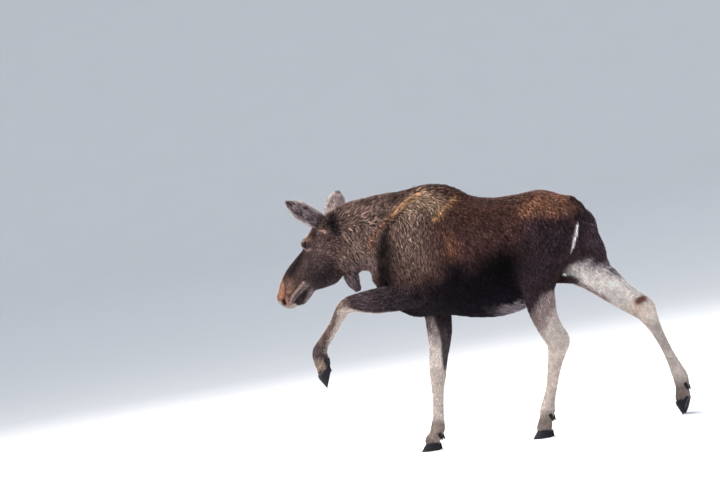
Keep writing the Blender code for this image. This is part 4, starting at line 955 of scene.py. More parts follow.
def chart_of(p, W):
    """Which part of the body a point belongs to, for the unwrap and for the coat's pieces."""
    g = np.array(GN)[np.argmax(W, axis=0)]
    x, y, z = p.T
    k = np.where(np.isin(g, ["lf", "rf", "hl", "hr", "tail", "bell", "head"]), g, "trunk")
    k = np.where((g == "arm") & (z < 1.06) & (x > 0), "lf", k)
    k = np.where((g == "arm") & (z < 1.0) & (x < 0), "rf", k)
    k = np.where((k == "trunk") & (y < -.04+.25*(z-1.35)), "neck", k)
    k = np.where(np.isin(k, ["hl", "hr"]) & (z > 1.12), "trunk", k)
    return k

# ---------------------------------------------------------------- tufts
def roots_on(p, tri, nrm, dens):
    """Root places spread over a mesh, so many to the square metre."""
    A, B, C = p[tri[:, 0]], p[tri[:, 1]], p[tri[:, 2]]
    area = .5*np.linalg.norm(np.cross(B-A, C-A), axis=1)
    cum = np.cumsum(area*dens[tri].mean(1))
    n = int(cum[-1])
    u = (np.arange(n)+rng.random(n))/n*cum[-1]
    f = np.minimum(np.searchsorted(cum, u), len(tri)-1)
    a, b = np.sqrt(rng.random(n)), rng.random(n)
    bary = np.stack([1-a, a*(1-b), a*b], 1)
    q = (p[tri[f]]*bary[:, :, None]).sum(1)
    return q, unit((nrm[tri[f]]*bary[:, :, None]).sum(1)), f, bary

WIDTHS = {3: (.55, 1.0, .74), 2: (.72, 1.0), 4: (.5, .95, 1.0, .66)}

def grow(q, N, D, L, w, depth, col, griz, rings, uv, stand, vary, follow=True, root=.60):
    """Closed tapering locks: three-sided rings from the root to a point. Returns points, triangles, colours, streak coordinates, uv."""
    n, K = len(q), rings
    ts = np.linspace(0, 1, K+1)
    bend = np.cumsum(rng.normal(0, .07, (n, K+1)), axis=1)+rng.normal(0, .08, n)[:, None]
    c, up, cur = q-N*.0012, N, D
    V, Cc, H, U = [], [], [], []
    dark = rng.normal(0, 1, n)
    light = np.clip(griz*(rng.random(n)**2.2)*2.3, 0, 1.5)
    seed = rng.random((n, 3))*9
    for k in range(K+1):
        t = ts[k]
        if k:
            side = np.cross(cur, up)
            cur = unit(cur+side*(bend[:, k]*.35)[:, None])
            c = c+cur*(L*(ts[k]-ts[k-1]))[:, None]
            rise = stand*np.sin(np.pi/2*min(1, t/.72))*(1-.10*(t == 1))
            if follow:
                f, g = grad(lambda r: field(PRIMS, r), c, 1e-3)
                gn = np.maximum((g*g).sum(1), .25)
                lev = -depth+depth*rise
                c = c-np.clip((f-lev)/gn, -.02, .02)[:, None]*g
                up = unit(g)
                cur = unit(cur-(cur*up).sum(1)[:, None]*up)
            else:
                c0 = q+D*(L*t)[:, None]*.985
                c = c0+N*(depth*rise)[:, None]
        side = unit(np.cross(cur, up))
        base = col*np.exp(vary*dark)[:, None]
        # painted shade among the hairs: each lock darkest at its root (by root), lighter along its length, lightest at
        # its tip
        if k == 0:
            shade = base*root
        elif k < K:
            shade = base*(.92+.10*t)
        else:
            shade = base*1.04
        if k >= K-1:
            shade = shade+light[:, None]*(.30+.70*(k == K))*(.02+shade)*np.array([1., .95, .90])*.55
        if k < K:
            ww = (w*WIDTHS[K][k]*.5)[:, None]
            V += [c+side*ww, c-side*ww, c+up*ww*.62]
            for lat, al in ((1, 2*t-1), (-1, 2*t-1), (0, 2*t-.72)):
                U.append(uv+.0015*np.array([lat, al]))
                H.append(np.stack([lat*w*.5+seed[:, 0], np.full(n, t*.004)+seed[:, 1], seed[:, 2]], 1))
                # painted light and shade: the lock's raised ridge lighter than its two sides
                Cc.append(shade*(1.06 if lat == 0 else .96))
        else:
            V.append(c)
            U.append(uv+.0015*np.array([0, 1.]))
            H.append(np.stack([seed[:, 0], np.full(n, t*.004)+seed[:, 1], seed[:, 2]], 1))
            Cc.append(shade)
    m = 3*K+1
    F = []
    for k in range(K-1):
        for i in range(3):
            a, b = 3*k+i, 3*k+(i+1) % 3
            F += [(a, b, b+3), (a, b+3, a+3)]
    k = 3*(K-1)
    F += [(k, k+1, m-1), (k+1, k+2, m-1), (k+2, k, m-1), (2, 1, 0)]
    F = np.array(F)
    v = np.stack(V, 1).reshape(-1, 3)
    tri = (F[None]+(np.arange(n)*m)[:, None, None]).reshape(-1, 3)
    return v, tri, np.stack(Cc, 1).reshape(-1, 3), np.stack(H, 1).reshape(-1, 3), np.stack(U, 1).reshape(-1, 2)

def scaled(u, lo, hi):
    """Bring unwrap coordinates into the unit square."""
    return .004+.992*np.clip((u-lo)/np.maximum(hi-lo, 1e-6), 0, 1)

def coat_piece(name, parts, mat):
    """Join several lots of tufts into one object with its unwrap filling the unit square."""
    n = 0
    V, F, C, H, U = [], [], [], [], []
    for v, f, c, h, u in parts:
        V.append(v); F.append(f+n); C.append(c); H.append(h); U.append(u)
        n += len(v)
    V, F, C, H, U = (np.concatenate(a) for a in (V, F, C, H, U))
    ob = make_mesh(name, V, F)
    put_colour(ob, "Col", C)
    put_vector(ob, "hair", H)
    U = np.clip(U, .0005, .9995)
    put_uv(ob, U[F.ravel()])
    ob.data.materials.append(mat)
    return len(F)

# ---------------------------------------------------------------- materials
def nodes_of(name):
    m = bpy.data.materials.new(name)
    m.use_nodes = True
    t = m.node_tree
    t.nodes.clear()
    out = t.nodes.new("ShaderNodeOutputMaterial")
    b = t.nodes.new("ShaderNodeBsdfPrincipled")
    t.links.new(b.outputs[0], out.inputs[0])
    return m, t, b

def ramp(t, src, a, b, lo, hi):
    r = t.nodes.new("ShaderNodeMapRange")
    t.links.new(src, r.inputs[0])
    r.inputs[1].default_value, r.inputs[2].default_value = a, b
    r.inputs[3].default_value, r.inputs[4].default_value = lo, hi
    return r.outputs[0]

def times(t, a, b):
    m = t.nodes.new("ShaderNodeVectorMath")
    m.operation = "SCALE"
    t.links.new(a, m.inputs[0])
    t.links.new(b, m.inputs["Scale"])
    return m.outputs[0]

def noise(t, scale, detail, vec, rough=.55):
    n = t.nodes.new("ShaderNodeTexNoise")
    n.inputs["Scale"].default_value = scale
    n.inputs["Detail"].default_value = detail
    n.inputs["Roughness"].default_value = rough
    t.links.new(vec, n.inputs["Vector"])
    return n.outputs[0]

def fur_material(name, streak, strength, rough=.62, gain=(.72, 1.30)):
    """Hair: the markings, broken into fine streaks that run with the lie of the coat."""
    m, t, b = nodes_of(name)
    col = t.nodes.new("ShaderNodeAttribute")
    col.attribute_name = "Col"
    hair = t.nodes.new("ShaderNodeAttribute")
    hair.attribute_name = "hair"
    geo = t.nodes.new("ShaderNodeTexCoord")
    s1 = noise(t, streak, 3, hair.outputs["Vector"])
    s2 = noise(t, 55, 3, geo.outputs["Object"])
    k1 = ramp(t, s1, .28, .72, *gain)
    k2 = ramp(t, s2, .25, .75, .86, 1.16)
    c = times(t, times(t, col.outputs["Color"], k1), k2)
    t.links.new(c, b.inputs["Base Color"])
    bump = t.nodes.new("ShaderNodeBump")
    bump.inputs["Strength"].default_value = strength
    bump.inputs["Distance"].default_value = .002
    t.links.new(s1, bump.inputs["Height"])
    t.links.new(bump.outputs[0], b.inputs["Normal"])
    t.links.new(ramp(t, s1, .3, .7, rough-.08, rough+.12), b.inputs["Roughness"])
    b.inputs["Specular IOR Level"].default_value = .05
    return m

def horn_material():
    m, t, b = nodes_of("horn")
    geo = t.nodes.new("ShaderNodeTexCoord")
    col = t.nodes.new("ShaderNodeAttribute")
    col.attribute_name = "Col"
    mp = t.nodes.new("ShaderNodeMapping")
    mp.inputs["Scale"].default_value = (1, 1, 5)
    t.links.new(geo.outputs["Object"], mp.inputs["Vector"])
    n1 = noise(t, 60, 5, mp.outputs[0])
    n2 = noise(t, 420, 4, geo.outputs["Object"])
    c = times(t, times(t, col.outputs["Color"], ramp(t, n1, .3, .7, .65, 1.5)), ramp(t, n2, .3, .7, .8, 1.25))
    t.links.new(c, b.inputs["Base Color"])
    t.links.new(ramp(t, n2, .3, .7, .46, .70), b.inputs["Roughness"])
    b.inputs["Specular IOR Level"].default_value = .18
    bump = t.nodes.new("ShaderNodeBump")
    bump.inputs["Strength"].default_value = .35
    bump.inputs["Distance"].default_value = .0015
    t.links.new(n1, bump.inputs["Height"])
    t.links.new(bump.outputs[0], b.inputs["Normal"])
    return m

def eye_material():
    m, t, b = nodes_of("eyeball")
    col = t.nodes.new("ShaderNodeAttribute")
    col.attribute_name = "Col"
    geo = t.nodes.new("ShaderNodeTexCoord")
    n1 = noise(t, 900, 3, geo.outputs["Object"])
    t.links.new(times(t, col.outputs["Color"], ramp(t, n1, .3, .7, .8, 1.25)), b.inputs["Base Color"])
    b.inputs["Roughness"].default_value = .12
    b.inputs["Specular IOR Level"].default_value = .16
    b.inputs["IOR"].default_value = 1.38
    return m

# ---------------------------------------------------------------- the pieces
EARS = {"left": ((.074, -.438, 1.540), (.200, -.635, 1.731), (-.90, -.38, .15)),
        "right": ((-.068, -.440, 1.558), (-.229, -.428, 1.735), (.55, .42, .52))}

def ear_skin(word, nu=42, nv=18):
    """Ear, its colours and, for each point, the way along the ear."""
    base, tip, back = (np.asarray(a, float) for a in EARS[word])
    F = frame_of(tip-base, back)
    v, f = ear_mesh(base, tip-.004*unit(tip-base), back, EAR_WIDTHS[word]-.006, thick=.0062, nu=nu, nv=nv)
    i = np.arange(len(v))
    u = (i//(2*nv))/(nu-1)
    j = i % (2*nv)
    vs = np.where(j < nv, -1+2*j/(nv-1), 1-2*(j-nv)/(nv-1))
    outer = j < nv
    e = np.abs(vs)
    near = word == "left"
    fine, dots = vnoise(v/.0055)-.5, vnoise(v/np.array([.0110, .0110, .0085])+3)
    # painted light: the far ear's outer side, whose back faces the light, painted paler than the near ear's
    c = np.tile(srgb(132, 117, 117) if near else srgb(148, 132, 131), (len(v), 1))*(1+.7*(vnoise(v/.012)-.5)+1.0*fine)[:, None]
    c = paint(c, srgb(72, 60, 64), .70*step(dots, .60, .70)*(1-step(u, .84, .95)))
    c = paint(c, srgb(84, 66, 60), .85*step(u, .90, .99))
    c = paint(c, srgb(176, 162, 156), .85*step(e, .70, .84)*(1-step(e, .90, .97))*(1-step(u, .86, 1)))
    c = paint(c, srgb(112, 90, 80), .90*step(e, .90, .97))
    c = paint(c, srgb(54, 45, 50), .75*step(-u, -.30, -.10)*step(vs*(1 if near else -1), -.2, .5))
    inner = np.tile(srgb(124, 110, 112), (len(v), 1))*(1+.9*(vnoise(v/.014+9)-.5)+1.2*fine)[:, None]
    inner = paint(inner, srgb(44, 35, 41), .86*step(dots, .56, .68)*(1-step(e, .70, .90)))
    inner = paint(inner, srgb(182, 168, 165), .72*step(-dots, -.36, -.28)*(1-step(u, .80, .92)))
    # partly painted shade: the inside of the ear darker towards its base, deep in the cup
    inner = paint(inner, srgb(58, 46, 48), .88*step(-u, -.34, -.12))
    inner = paint(inner, srgb(182, 168, 162), .80*step(e, .80, .95)*(1-step(u, .84, .94))*step(u, .14, .30))
    inner = paint(inner, srgb(78, 62, 56), .90*step(u+.04*fine, .86, .96))
    c = np.where(outer[:, None], c, inner)
    if near:
        c = paint(c, srgb(200, 152, 138), .92*soft(line3(v, [(.080, -.495, 1.536), (.092, -.470, 1.514), (.105, -.434, 1.490)], False)[0], .015))
    return v, f, np.clip(c, .002, .95), u, vs, outer, F

def fine_claw(side, length=.132, width=.053, front=.064, heel=.038, n=40, levels=15):
    """The claw of the solids again, smooth, with growth rings."""
    t = 2*np.pi*np.arange(n)/n
    y, x = np.cos(t), np.sin(t)
    toe = np.clip((y+.1)/1.1, 0, 1)
    wide = 1-.62*toe**2.2
    px = np.where(x > 0, x, x*.72)*wide*width*.5*side-side*toe**2*width*.16
    if side < 0:
        px, y = px[::-1], y[::-1]
    yy = (y+1)*.5
    rings = []
    for q in [0, 0, .04]+list(np.linspace(.10, 1, levels)):
        k = len(rings)
        top = heel+(front-heel)*yy
        zz = np.zeros(n) if k < 2 else (np.full(n, .004) if k == 2 else top*q)
        shrink = (.80, .96, 1.0)[k] if k < 3 else 1.0
        back = zz*yy*.80
        ridge = 0 if k < 4 else .012*np.sin(q*34+1.2*yy)*(1-.6*q)
        rings.append(np.stack([(px*shrink*(1-.10*q)*(1+ridge)-side*zz*.05), yy*length*shrink+(1-shrink)*length*.5-back-length*.5+zz*(1-yy)*.10+ridge*.003, zz+(.0015 if k == 0 else 0)], 1))
    c = rings[-1].mean(0)
    rings.append(c+(rings[-1]-c)*[.55, .55, 1]+[0, 0, .010])
    v, f = grid_mesh(rings, c+[0, 0, .016], np.array([rings[0][:, 0].mean(), rings[0][:, 1].mean(), .0015]))
    return v*[.985, .985, 1], f[:, ::-1]

FEET = (("fore_left", .140, (-.576, .570), (.123, -.338, -.933), (.319, -.877, .36), (-.572, .700), (0, .12, -.99)),
        ("fore_right", -.048, (-.040, .0), (0, -1, 0), (0, 0, 1), (.036, .106), (0, .30, -.95)),
        ("hind_left", .160, (.782, .0), (0, -1, 0), (0, 0, 1), (.857, .144), (0, .30, -.95)),
        ("hind_right", -.136, (1.6555, .0440), (0, -.42, -.907), (0, -.907, .42), (1.672, .190), (0, .35, -.94)))

def fine_dewclaw(length=.052, radius=.017, n=20):
    rings = []
    for s in np.linspace(0, 1, 12):
        t = 2*np.pi*np.arange(n)/n
        r = radius*(1-.55*s**1.5)*np.sqrt(max(.02, 1-s**6))*(1+.03*np.sin(s*26))
        rings.append(np.stack([r*np.cos(t)*.95, np.full(n, s*length), r*np.sin(t)*.72], 1))
    v, f = grid_mesh(rings, np.array([0, length*1.01, 0]), np.zeros(3))
    vol = np.einsum("ij,ij->i", v[f[:, 0]], np.cross(v[f[:, 1]], v[f[:, 2]])).sum()
    return v, f if vol > 0 else f[:, ::-1]

def eyeball(word):
    """Eye with a cornea that stands a little proud; colours in rings round its axis."""
    side, E = EYES[word]
    out, fwd, up = eye_frame(side)
    n, th = 56, np.concatenate([np.linspace(.02, .75, 30), np.linspace(.80, np.pi-.06, 22)])
    a = 2*np.pi*np.arange(n)/n
    rings, cols = [], []
    for t in th:
        r = EYE_RADIUS*(1+.055*np.exp(-(t/.42)**4))
        x, z = np.sin(t)*np.cos(a), np.sin(t)*np.sin(a)
        rings.append(E+r*(np.cos(t)*out+x[:, None]*fwd+z[:, None]*up))
        el = np.hypot(x/.36, z/.20)                       # pupil: a lying oval
        k = np.tile(srgb(27, 17, 13), (n, 1))*(1+.35*np.sin(a*23)+.25*np.sin(a*41+1))[:, None]
        k = paint(k, srgb(20, 13, 11), step(np.full(n, t), .42, .56))
        k = paint(k, srgb(10, 8, 9), 1-step(el, .85, 1.1))
        k = paint(k, srgb(19, 13, 13), step(np.full(n, t), .60, .68))
        k = paint(k, srgb(40, 27, 27), step(np.full(n, t), .86, 1.05)*.8)
        cols.append(k)
    v, f = grid_mesh(rings[::-1], E+EYE_RADIUS*1.055*out, E-EYE_RADIUS*out)
    c = np.concatenate(cols[::-1]+[np.tile(srgb(60, 40, 36), (1, 1)), np.tile(srgb(10, 8, 9), (1, 1))])
    vol = np.einsum("ij,ij->i", v[f[:, 0]]-E, np.cross(v[f[:, 1]]-E, v[f[:, 2]]-E)).sum()
    return v, (f if vol > 0 else f[:, ::-1]), c

def skin_and_coat():
    p, tri = skin_mesh()
    nrm = normals(p, tri)
    W = weights(p)
    depth, L, w, dens = coat_of(p, W)
    col = markings(p+depth[:, None]*nrm, W)[0]
    print("skin", len(tri), "t", round(time.time()-T0, 1))
    # bare places: lid rims, inside of the nostrils and the lips
    bare = np.zeros(len(p))
    for q, k, recess_shade_strength in CUT:
        m = np.nonzero(np.all((p > q.lo-.02) & (p < q.hi+.02), axis=1))[0]
        bare[m] = np.maximum(bare[m], step(-q.dist(p[m]), -.0042, -.0020))
    # painted shade: the inside of each cut (lid gap, slits, nostrils, grooves, wrinkle, lips) painted near black, as
    # strongly as the cut's shade strength says
    painted_recess_shade = np.zeros(len(p))
    for q, k, recess_shade_strength in CUT:
        m = np.nonzero(np.all((p > q.lo-.01) & (p < q.hi+.01), axis=1))[0]
        painted_recess_shade[m] = np.maximum(painted_recess_shade[m], recess_shade_strength*step(-q.dist(p[m]), -.0022, .0008))
    col = paint(col, srgb(9, 7, 7), painted_recess_shade)
    for word in EYES:
        side, E = EYES[word]
        out, fwd, up = eye_frame(side)
        v = p-E
        a, b, o = v@fwd, v@up, v@out
        rim = np.hypot(a/LID_OPEN[0], b/LID_OPEN[1])
        near = (np.linalg.norm(v, axis=1) < .034) & (o > 0)
        col = paint(col, srgb(38, 28, 28), .95*near*np.exp(-((rim-1.06)/.16)**2))
        bare = np.maximum(bare, near*step(-rim, -1.28, -1.12))
    dens = dens*(1-bare)
    for name, x, toe0, toe, up, (dy, dz), dd in FEET:
        for side in (1, -1):
            d0 = line3(p, [(x+side*.022, dy, dz), np.array([x+side*.022, dy, dz])+.052*unit(np.array(dd, float))], False)[0]
            dens = dens*step(d0, .016, .024)
    dens = np.where(p[:, 2] < .012, 0, dens)
    D = lie_of(p, W)
    D = unit(D-(D*nrm).sum(1)[:, None]*nrm)

    # the skin itself, ears joined to it
    hair = np.empty_like(p)
    ctr = sum(W[i][:, None]*np.array(c, float) for i, c in enumerate([(0, .5, 1.2), (0, 0, 1.5), (0, -.2, 1.4), (.15, .05, 1.1), (.15, -.3, .9), (-.1, .05, .5), (.16, .9, .5), (-.14, 1.4, .6), (0, 1.2, 1.35), (0, -.65, 1.35), (0, -.35, 1.15)]))
    q = p-ctr
    hair = q-.88*(q*D).sum(1)[:, None]*D
    ks = chart_of(p, W)
    # painted shade: the skin under the coat, seen in the gaps between locks, is the markings darkened
    V, F, C, H = [p], [tri], [col*.80], [hair]
    uvs = []
    rect = {"trunk": (0, 0, .46, .62), "neck": (0, .64, .30, .84), "head": (.48, .0, 1.0, .46), "lf": (.48, .48, .60, .86), "rf": (.62, .48, .74, .86),
            "hl": (.76, .48, .87, .98), "hr": (.89, .48, 1.0, .98), "tail": (.32, .64, .40, .74), "bell": (.32, .76, .40, .84),
            "ear_left": (0, .86, .46, 1.0), "ear_right": (.48, .88, .74, 1.0)}
    kf = ks[tri[:, 0]]
    uv = np.zeros((len(tri), 3, 2))
    spans = {}
    for kind in np.unique(kf):
        m = np.nonzero(kf == kind)[0]
        a, b = chart_uv(kind, p[tri[m]].reshape(-1, 3))
        a, b = a.reshape(-1, 3), b.reshape(-1, 3)
        a = a-np.round((a-a[:, :1])/2)*2
        lo, hi = np.percentile(b, .05), np.percentile(b, 99.95)
        spans[kind] = (lo, hi)
        x0, y0, x1, y1 = rect[kind]
        g = .012
        uv[m, :, 0] = x0+g/2+(x1-x0-g)*np.clip((a+1.03)/2.06, 0, 1)
        uv[m, :, 1] = y0+g/2+(y1-y0-g)*np.clip((b-lo)/(hi-lo), 0, 1)
    uvs.append(uv)
    ears = {}
    base = len(p)
    for word in EARS:
        v, f, c, u, vs, outer, Fm = ear_skin(word)
        ears[word] = (v, f, c, u, vs, outer, Fm)
        # painted shade: the ear's skin is its hair's colour darkened
        V.append(v); F.append(f+base); C.append(c*.85); H.append(np.stack([vs*.05, u*.02, np.where(outer, 0., 3.)], 1))
        x0, y0, x1, y1 = rect["ear_"+word]
        uu = np.where(outer, (vs+1)*.245, .51+(1-vs)*.245)
        uvv = np.stack([x0+.006+(x1-x0-.012)*uu, y0+.006+(y1-y0-.012)*u], 1)
        k = uvv[f]
        uvs.append(k)
        base += len(v)
    ob = make_mesh("skin", np.concatenate(V), np.concatenate(F))
    put_colour(ob, "Col", np.concatenate(C))
    put_vector(ob, "hair", np.concatenate(H))
    U = np.concatenate(uvs)
    # no face of zero width
    e1, e2 = U[:, 1]-U[:, 0], U[:, 2]-U[:, 0]
    flat = np.abs(e1[:, 0]*e2[:, 1]-e1[:, 1]*e2[:, 0]) < 1e-9
    U[flat] = U[flat]+np.array([[0, 0], [.0006, 0], [0, .0006]])
    put_uv(ob, np.clip(U, 0, 1).reshape(-1, 2))
    ob.data.materials.append(fur_material("skin_hair", 420, .55, rough=.70))
    gone = [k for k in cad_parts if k.split("_")[0] not in ("eye", "claw", "dewclaw")]
    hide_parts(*gone)
    print("skin made", round(time.time()-T0, 1))

    # the coat
    q, N, f, bary = roots_on(p, tri, nrm, dens)
    Wq = weights(q)
    dq, Lq, wq, _ = coat_of(q, Wq)
    Dq = lie_of(q, Wq)
    nz = np.stack([vnoise(q/.06+a)-.5 for a in (0, 11, 23)], 1)+.7*np.stack([vnoise(q/.022+a)-.5 for a in (5, 17, 29)], 1)
    mane = np.clip(Wq[GN.index("crest")]+.6*Wq[GN.index("neck")], 0, 1)*(1-step(q[:, 1], .10, .40))
    loose = np.clip(mane+.45*Wq[GN.index("trunk")], 0, 1)
    Dq = unit(unit(Dq)+nz*(.12+.36*loose)[:, None]+rng.normal(0, .05, q.shape))
    Dq = unit(Dq-(Dq*N).sum(1)[:, None]*N)
    # locks gather into clumps that run with the coat: the clumps stand higher than the gaps, and the gaps are painted
    # darker than the clumps as painted shade
    S = np.cross(Dq, N)
    cell = (.0066+.0042*mane)[:, None]
    def clump(r):
        r = (r-(.66+.12*mane[:, None])*(r*Dq).sum(1)[:, None]*Dq)/cell
        return vnoise(r+31)+.55*vnoise(r*.46+57)-.775
    cq, gq, aq = markings(q+dq[:, None]*N+(.45*Lq)[:, None]*Dq, Wq)
    st = clump(q)
    lean = clump(q+.003*S)-clump(q-.003*S)
    Dq = unit(Dq+(.45+.9*mane)[:, None]*np.clip(lean, -.5, .5)[:, None]*S)
    k = aq*(1.15+.70*mane)                               # gaps are darker than clumps are light
    zc = np.clip((st-st.mean())/st.std(), -2.4, 1.3)
    ks = np.linspace(0, 3, 31)
    # painted shade and light: gaps between clumps darkened, clumps lightened, keeping the mean
    cq = cq*(np.exp(k*zc)/np.interp(k, ks, [np.exp(u*zc[::7]).mean() for u in ks]))[:, None]
    stand = np.clip(.90+.60*st+.16*(rng.random(len(q))-.5), .30, 1.28)
    grz = np.clip(gq*(1+.8*st), 0, 1)
    vary = aq*.85
    limb = Wq[[GN.index(g) for g in ("lf", "rf", "hl", "hr")]].sum(0)
    Lq = Lq*(.75+.5*rng.random(len(q)))
    wq = wq*(.75+.5*rng.random(len(q)))
    kinds = chart_of(q, Wq)
    kinds = np.where((kinds == "trunk") & (q[:, 1] < .30), "shoulder", kinds)
    kinds = np.where((kinds == "trunk") & (q[:, 1] > .82), "haunch", kinds)
    kinds = np.where(kinds == "trunk", "barrel", kinds)
    print("roots", len(q), round(time.time()-T0, 1))
    fur = fur_material("coat_hair", 620, .45, rough=.60)
    short = fur_material("short_hair", 760, .40, rough=.64)
    total = 0
    for kind in sorted(set(kinds)):
        for half in ((1, -1) if kind in ("shoulder", "barrel", "haunch", "neck", "head") else (0,)):
            m = np.nonzero((kinds == kind) & ((q[:, 0]*half >= 0) if half else True))[0]
            if half == 1:
                m = m[q[m, 0] > 0]
            if half == -1:
                m = m[q[m, 0] <= 0]
            if not len(m):
                continue
            ck = "trunk" if kind in ("shoulder", "barrel", "haunch") else kind
            a, b = chart_uv(ck, q[m])
            uv = np.stack([scaled(a, a.min(), a.max()), scaled(b, np.percentile(b, .2), np.percentile(b, 99.8))], 1)
            long = Lq[m] > .040
            parts = []
            for sel, rings in ((long, 3), (~long, 2)):
                i = m[sel]
                if len(i):
                    # painted shade at the locks' roots: deepest in the mane, lightest on the legs
                    parts.append(grow(q[i], N[i], Dq[i], Lq[i], wq[i], dq[i], cq[i], grz[i], rings, uv[sel], stand[i], vary[i],
                                      follow=rings == 3 or ck == "trunk", root=.60+.18*limb[i, None]-.28*mane[i, None]))
            name = "coat_"+{"lf": "foreleg_left", "rf": "foreleg_right", "hl": "hindleg_left", "hr": "hindleg_right"}.get(kind, kind)+{1: "_left", -1: "_right", 0: ""}[half]
            k = coat_piece(name, parts, short if kind in ("lf", "rf", "hl", "hr", "head") else fur)
            print(name, len(m), k, round(time.time()-T0, 1))
            total += k
    # the ears' hair
    for word, (v, f, c, u, vs, outer, Fm) in ears.items():
        en = normals(v, f)
        dn = np.where(outer, 26000., 17000.)
        dn = dn*np.where(u < .04, 0, 1)
        r, Nr, fi, ba = roots_on(v, f, en, dn)
        cr = (c[f[fi]]*ba[:, :, None]).sum(1)
        ur, vr = (u[f[fi]]*ba).sum(1), (vs[f[fi]]*ba).sum(1)
        onr = (outer[f[fi]]*ba).sum(1)
        Dr = Fm[1]+Fm[0]*(.35*np.sign(vr)*np.abs(vr))[:, None]*np.where(onr > .5, 1, .4)[:, None]+rng.normal(0, .12, r.shape)
        Dr = unit(Dr-(Dr*Nr).sum(1)[:, None]*Nr)
        Lr = np.where(onr > .5, .017, .026)*(.7+.6*rng.random(len(r)))*np.where(ur > .88, .7, 1)
        wr = np.full(len(r), .0038)*(.7+.6*rng.random(len(r)))
        dr = np.where(onr > .5, .0030, .0050)
        lo = np.stack([(vr+1)/2*.48+np.where(onr > .5, 0, .51), ur], 1)
        uv = .01+.98*np.clip(lo, 0, 1)
        part = grow(r, Nr, Dr, Lr, wr, dr, cr, np.full(len(r), .35), 2, uv, .55+.5*rng.random(len(r)), np.full(len(r), .20), follow=False)
        total += coat_piece("coat_ear_"+word, [part], short)
    print("coat triangles", total, round(time.time()-T0, 1))

def organs_pieces():
    horn, wet = horn_material(), eye_material()
    for word in EYES:
        v, f, c = eyeball(word)
        ob = make_mesh("eyeball_"+word, v, f)
        put_colour(ob, "Col", c)
        ob.data.materials.append(wet)
        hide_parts("eye_"+word)
    for name, x, (sy, sz), toe, up, (dy, dz), dd in FEET:
        Fm = frame_of(toe, up)
        for side, word in ((1, "left"), (-1, "right")):
            v, f = fine_claw(-side)
            h = v[:, 2].copy()
            v = np.array([x, sy, sz])-side*.0285*Fm[0]+v@Fm
            v[:, 2] = np.maximum(v[:, 2], 0)
            ob = make_mesh("hoof_%s_%s" % (name, word), v, f)
            c = np.tile(srgb(17, 17, 24), (len(v), 1))
            c = paint(c, srgb(56, 49, 48), .55*step(h, .048, .075))
            c = paint(c, srgb(34, 33, 38), .5*step(-h, -.008, .0))
            put_colour(ob, "Col", c)
            ob.data.materials.append(horn)
            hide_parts("claw_%s_%s" % (name, word))
            G = frame_of(dd, (0, 1, 0))
            v, f = fine_dewclaw()
            v = np.array([x+side*.022, dy, dz])+v@G
            ob = make_mesh("spur_%s_%s" % (name, word), v, f)
            put_colour(ob, "Col", np.tile(srgb(17, 16, 21), (len(v), 1)))
            ob.data.materials.append(horn)
            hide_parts("dewclaw_%s_%s" % (name, word))

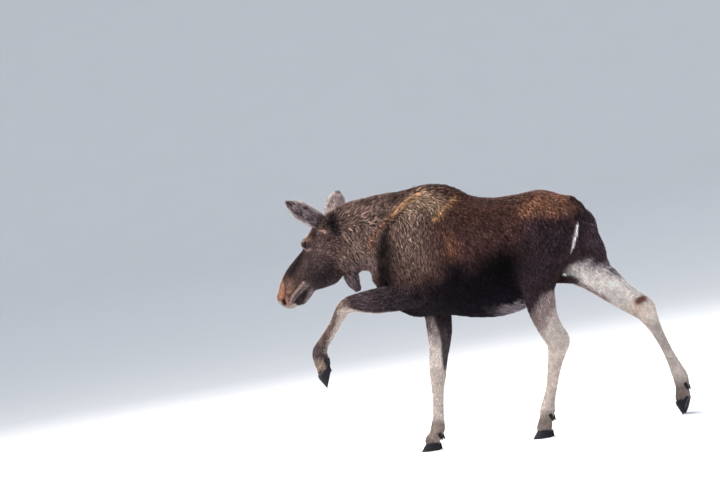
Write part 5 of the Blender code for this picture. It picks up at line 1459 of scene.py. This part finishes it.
def stage_and_camera():
    sc = bpy.context.scene
    sc.view_settings.view_transform = "Standard"
    # floor: flat for forty metres, then curved up into a pale wall
    n = 96
    prof = [(r, -.001) for r in (6, 16, 40)]+[(40+16*math.sin(k*math.pi/20), 16-16*math.cos(k*math.pi/20)-.001) for k in range(1, 11)]+[(56, 30)]
    v = [(0, 0, -.001)]+[(r*math.cos(2*math.pi*i/n), r*math.sin(2*math.pi*i/n), h) for r, h in prof for i in range(n)]
    f = [(0, 1+i, 1+(i+1) % n) for i in range(n)]
    for k in range(len(prof)-1):
        f += [(1+k*n+i, 1+(k+1)*n+i, 1+(k+1)*n+(i+1) % n, 1+k*n+(i+1) % n) for i in range(n)]
    me = bpy.data.meshes.new("floor")
    me.from_pydata(v, [], f)
    me.polygons.foreach_set("use_smooth", [True]*len(f))
    floor = bpy.data.objects.new("floor", me)
    sc.collection.objects.link(floor)
    m, t, b = nodes_of("floor_paint")
    geo = t.nodes.new("ShaderNodeTexCoord")
    nz = noise(t, 1.5, 4, geo.outputs["Object"])
    rp = t.nodes.new("ShaderNodeMapRange")
    t.links.new(nz, rp.inputs[0])
    rp.inputs[3].default_value, rp.inputs[4].default_value = .68, .71
    cmb = t.nodes.new("ShaderNodeCombineColor")
    for i in range(3):
        t.links.new(rp.outputs[0], cmb.inputs[i])
    t.links.new(cmb.outputs[0], b.inputs["Base Color"])
    b.inputs["Roughness"].default_value = .9
    me.materials.append(m)
    w = bpy.data.worlds.new("studio")
    sc.world = w
    w.use_nodes = True
    w.node_tree.nodes["Background"].inputs[0].default_value = (.84, .90, 1.0, 1)
    w.node_tree.nodes["Background"].inputs[1].default_value = 1.0
    def lamp(name, at, to, size, power, colour):
        d = bpy.data.lights.new(name, "AREA")
        d.shape, d.size, d.energy, d.color = "DISK", size, power, colour
        o = bpy.data.objects.new(name, d)
        o.location = at
        o.rotation_euler = (Vector(to)-Vector(at)).to_track_quat("-Z", "Y").to_euler()
        sc.collection.objects.link(o)
    lamp("key", (2.0, -6.0, 7.0), (0, .1, 1.0), 3.0, 1400, (1.0, .94, .86))
    lamp("rim", (-4.5, -2.5, 6.0), (0, 0, 1.2), 3.0, 800, (1.0, .96, .92))
    lamp("fill", (8.0, 3.5, 3.0), (0, .2, 1.0), 6.0, 260, (.90, .95, 1.0))
    cam = bpy.data.cameras.new("camera")
    cam.lens, cam.sensor_width = 200.0, 36.0
    cam.clip_start, cam.clip_end = .5, 400
    o = bpy.data.objects.new("camera", cam)
    a, e, r = (math.radians(k) for k in (110.0, 2.0, 10.0))
    Bk = Vector((math.sin(a)*math.cos(e), -math.cos(a)*math.cos(e), math.sin(e)))
    R0 = Vector((math.cos(a), math.sin(a), 0))
    U0 = Bk.cross(R0)
    Rt, Up = math.cos(r)*R0-math.sin(r)*U0, math.sin(r)*R0+math.cos(r)*U0
    at = Vector((24.05142895, 8.49682491, 2.30172414))-Vector(ORIGIN.tolist())
    M = Matrix.Identity(4)
    for i in range(3):
        M[i][0], M[i][1], M[i][2], M[i][3] = Rt[i], Up[i], Bk[i], at[i]
    o.matrix_world = M
    sc.collection.objects.link(o)
    sc.camera = o

skin_and_coat()
organs_pieces()
stage_and_camera()
bpy.context.view_layer.update()
print("scene made in", round(time.time()-T0, 1), "s")
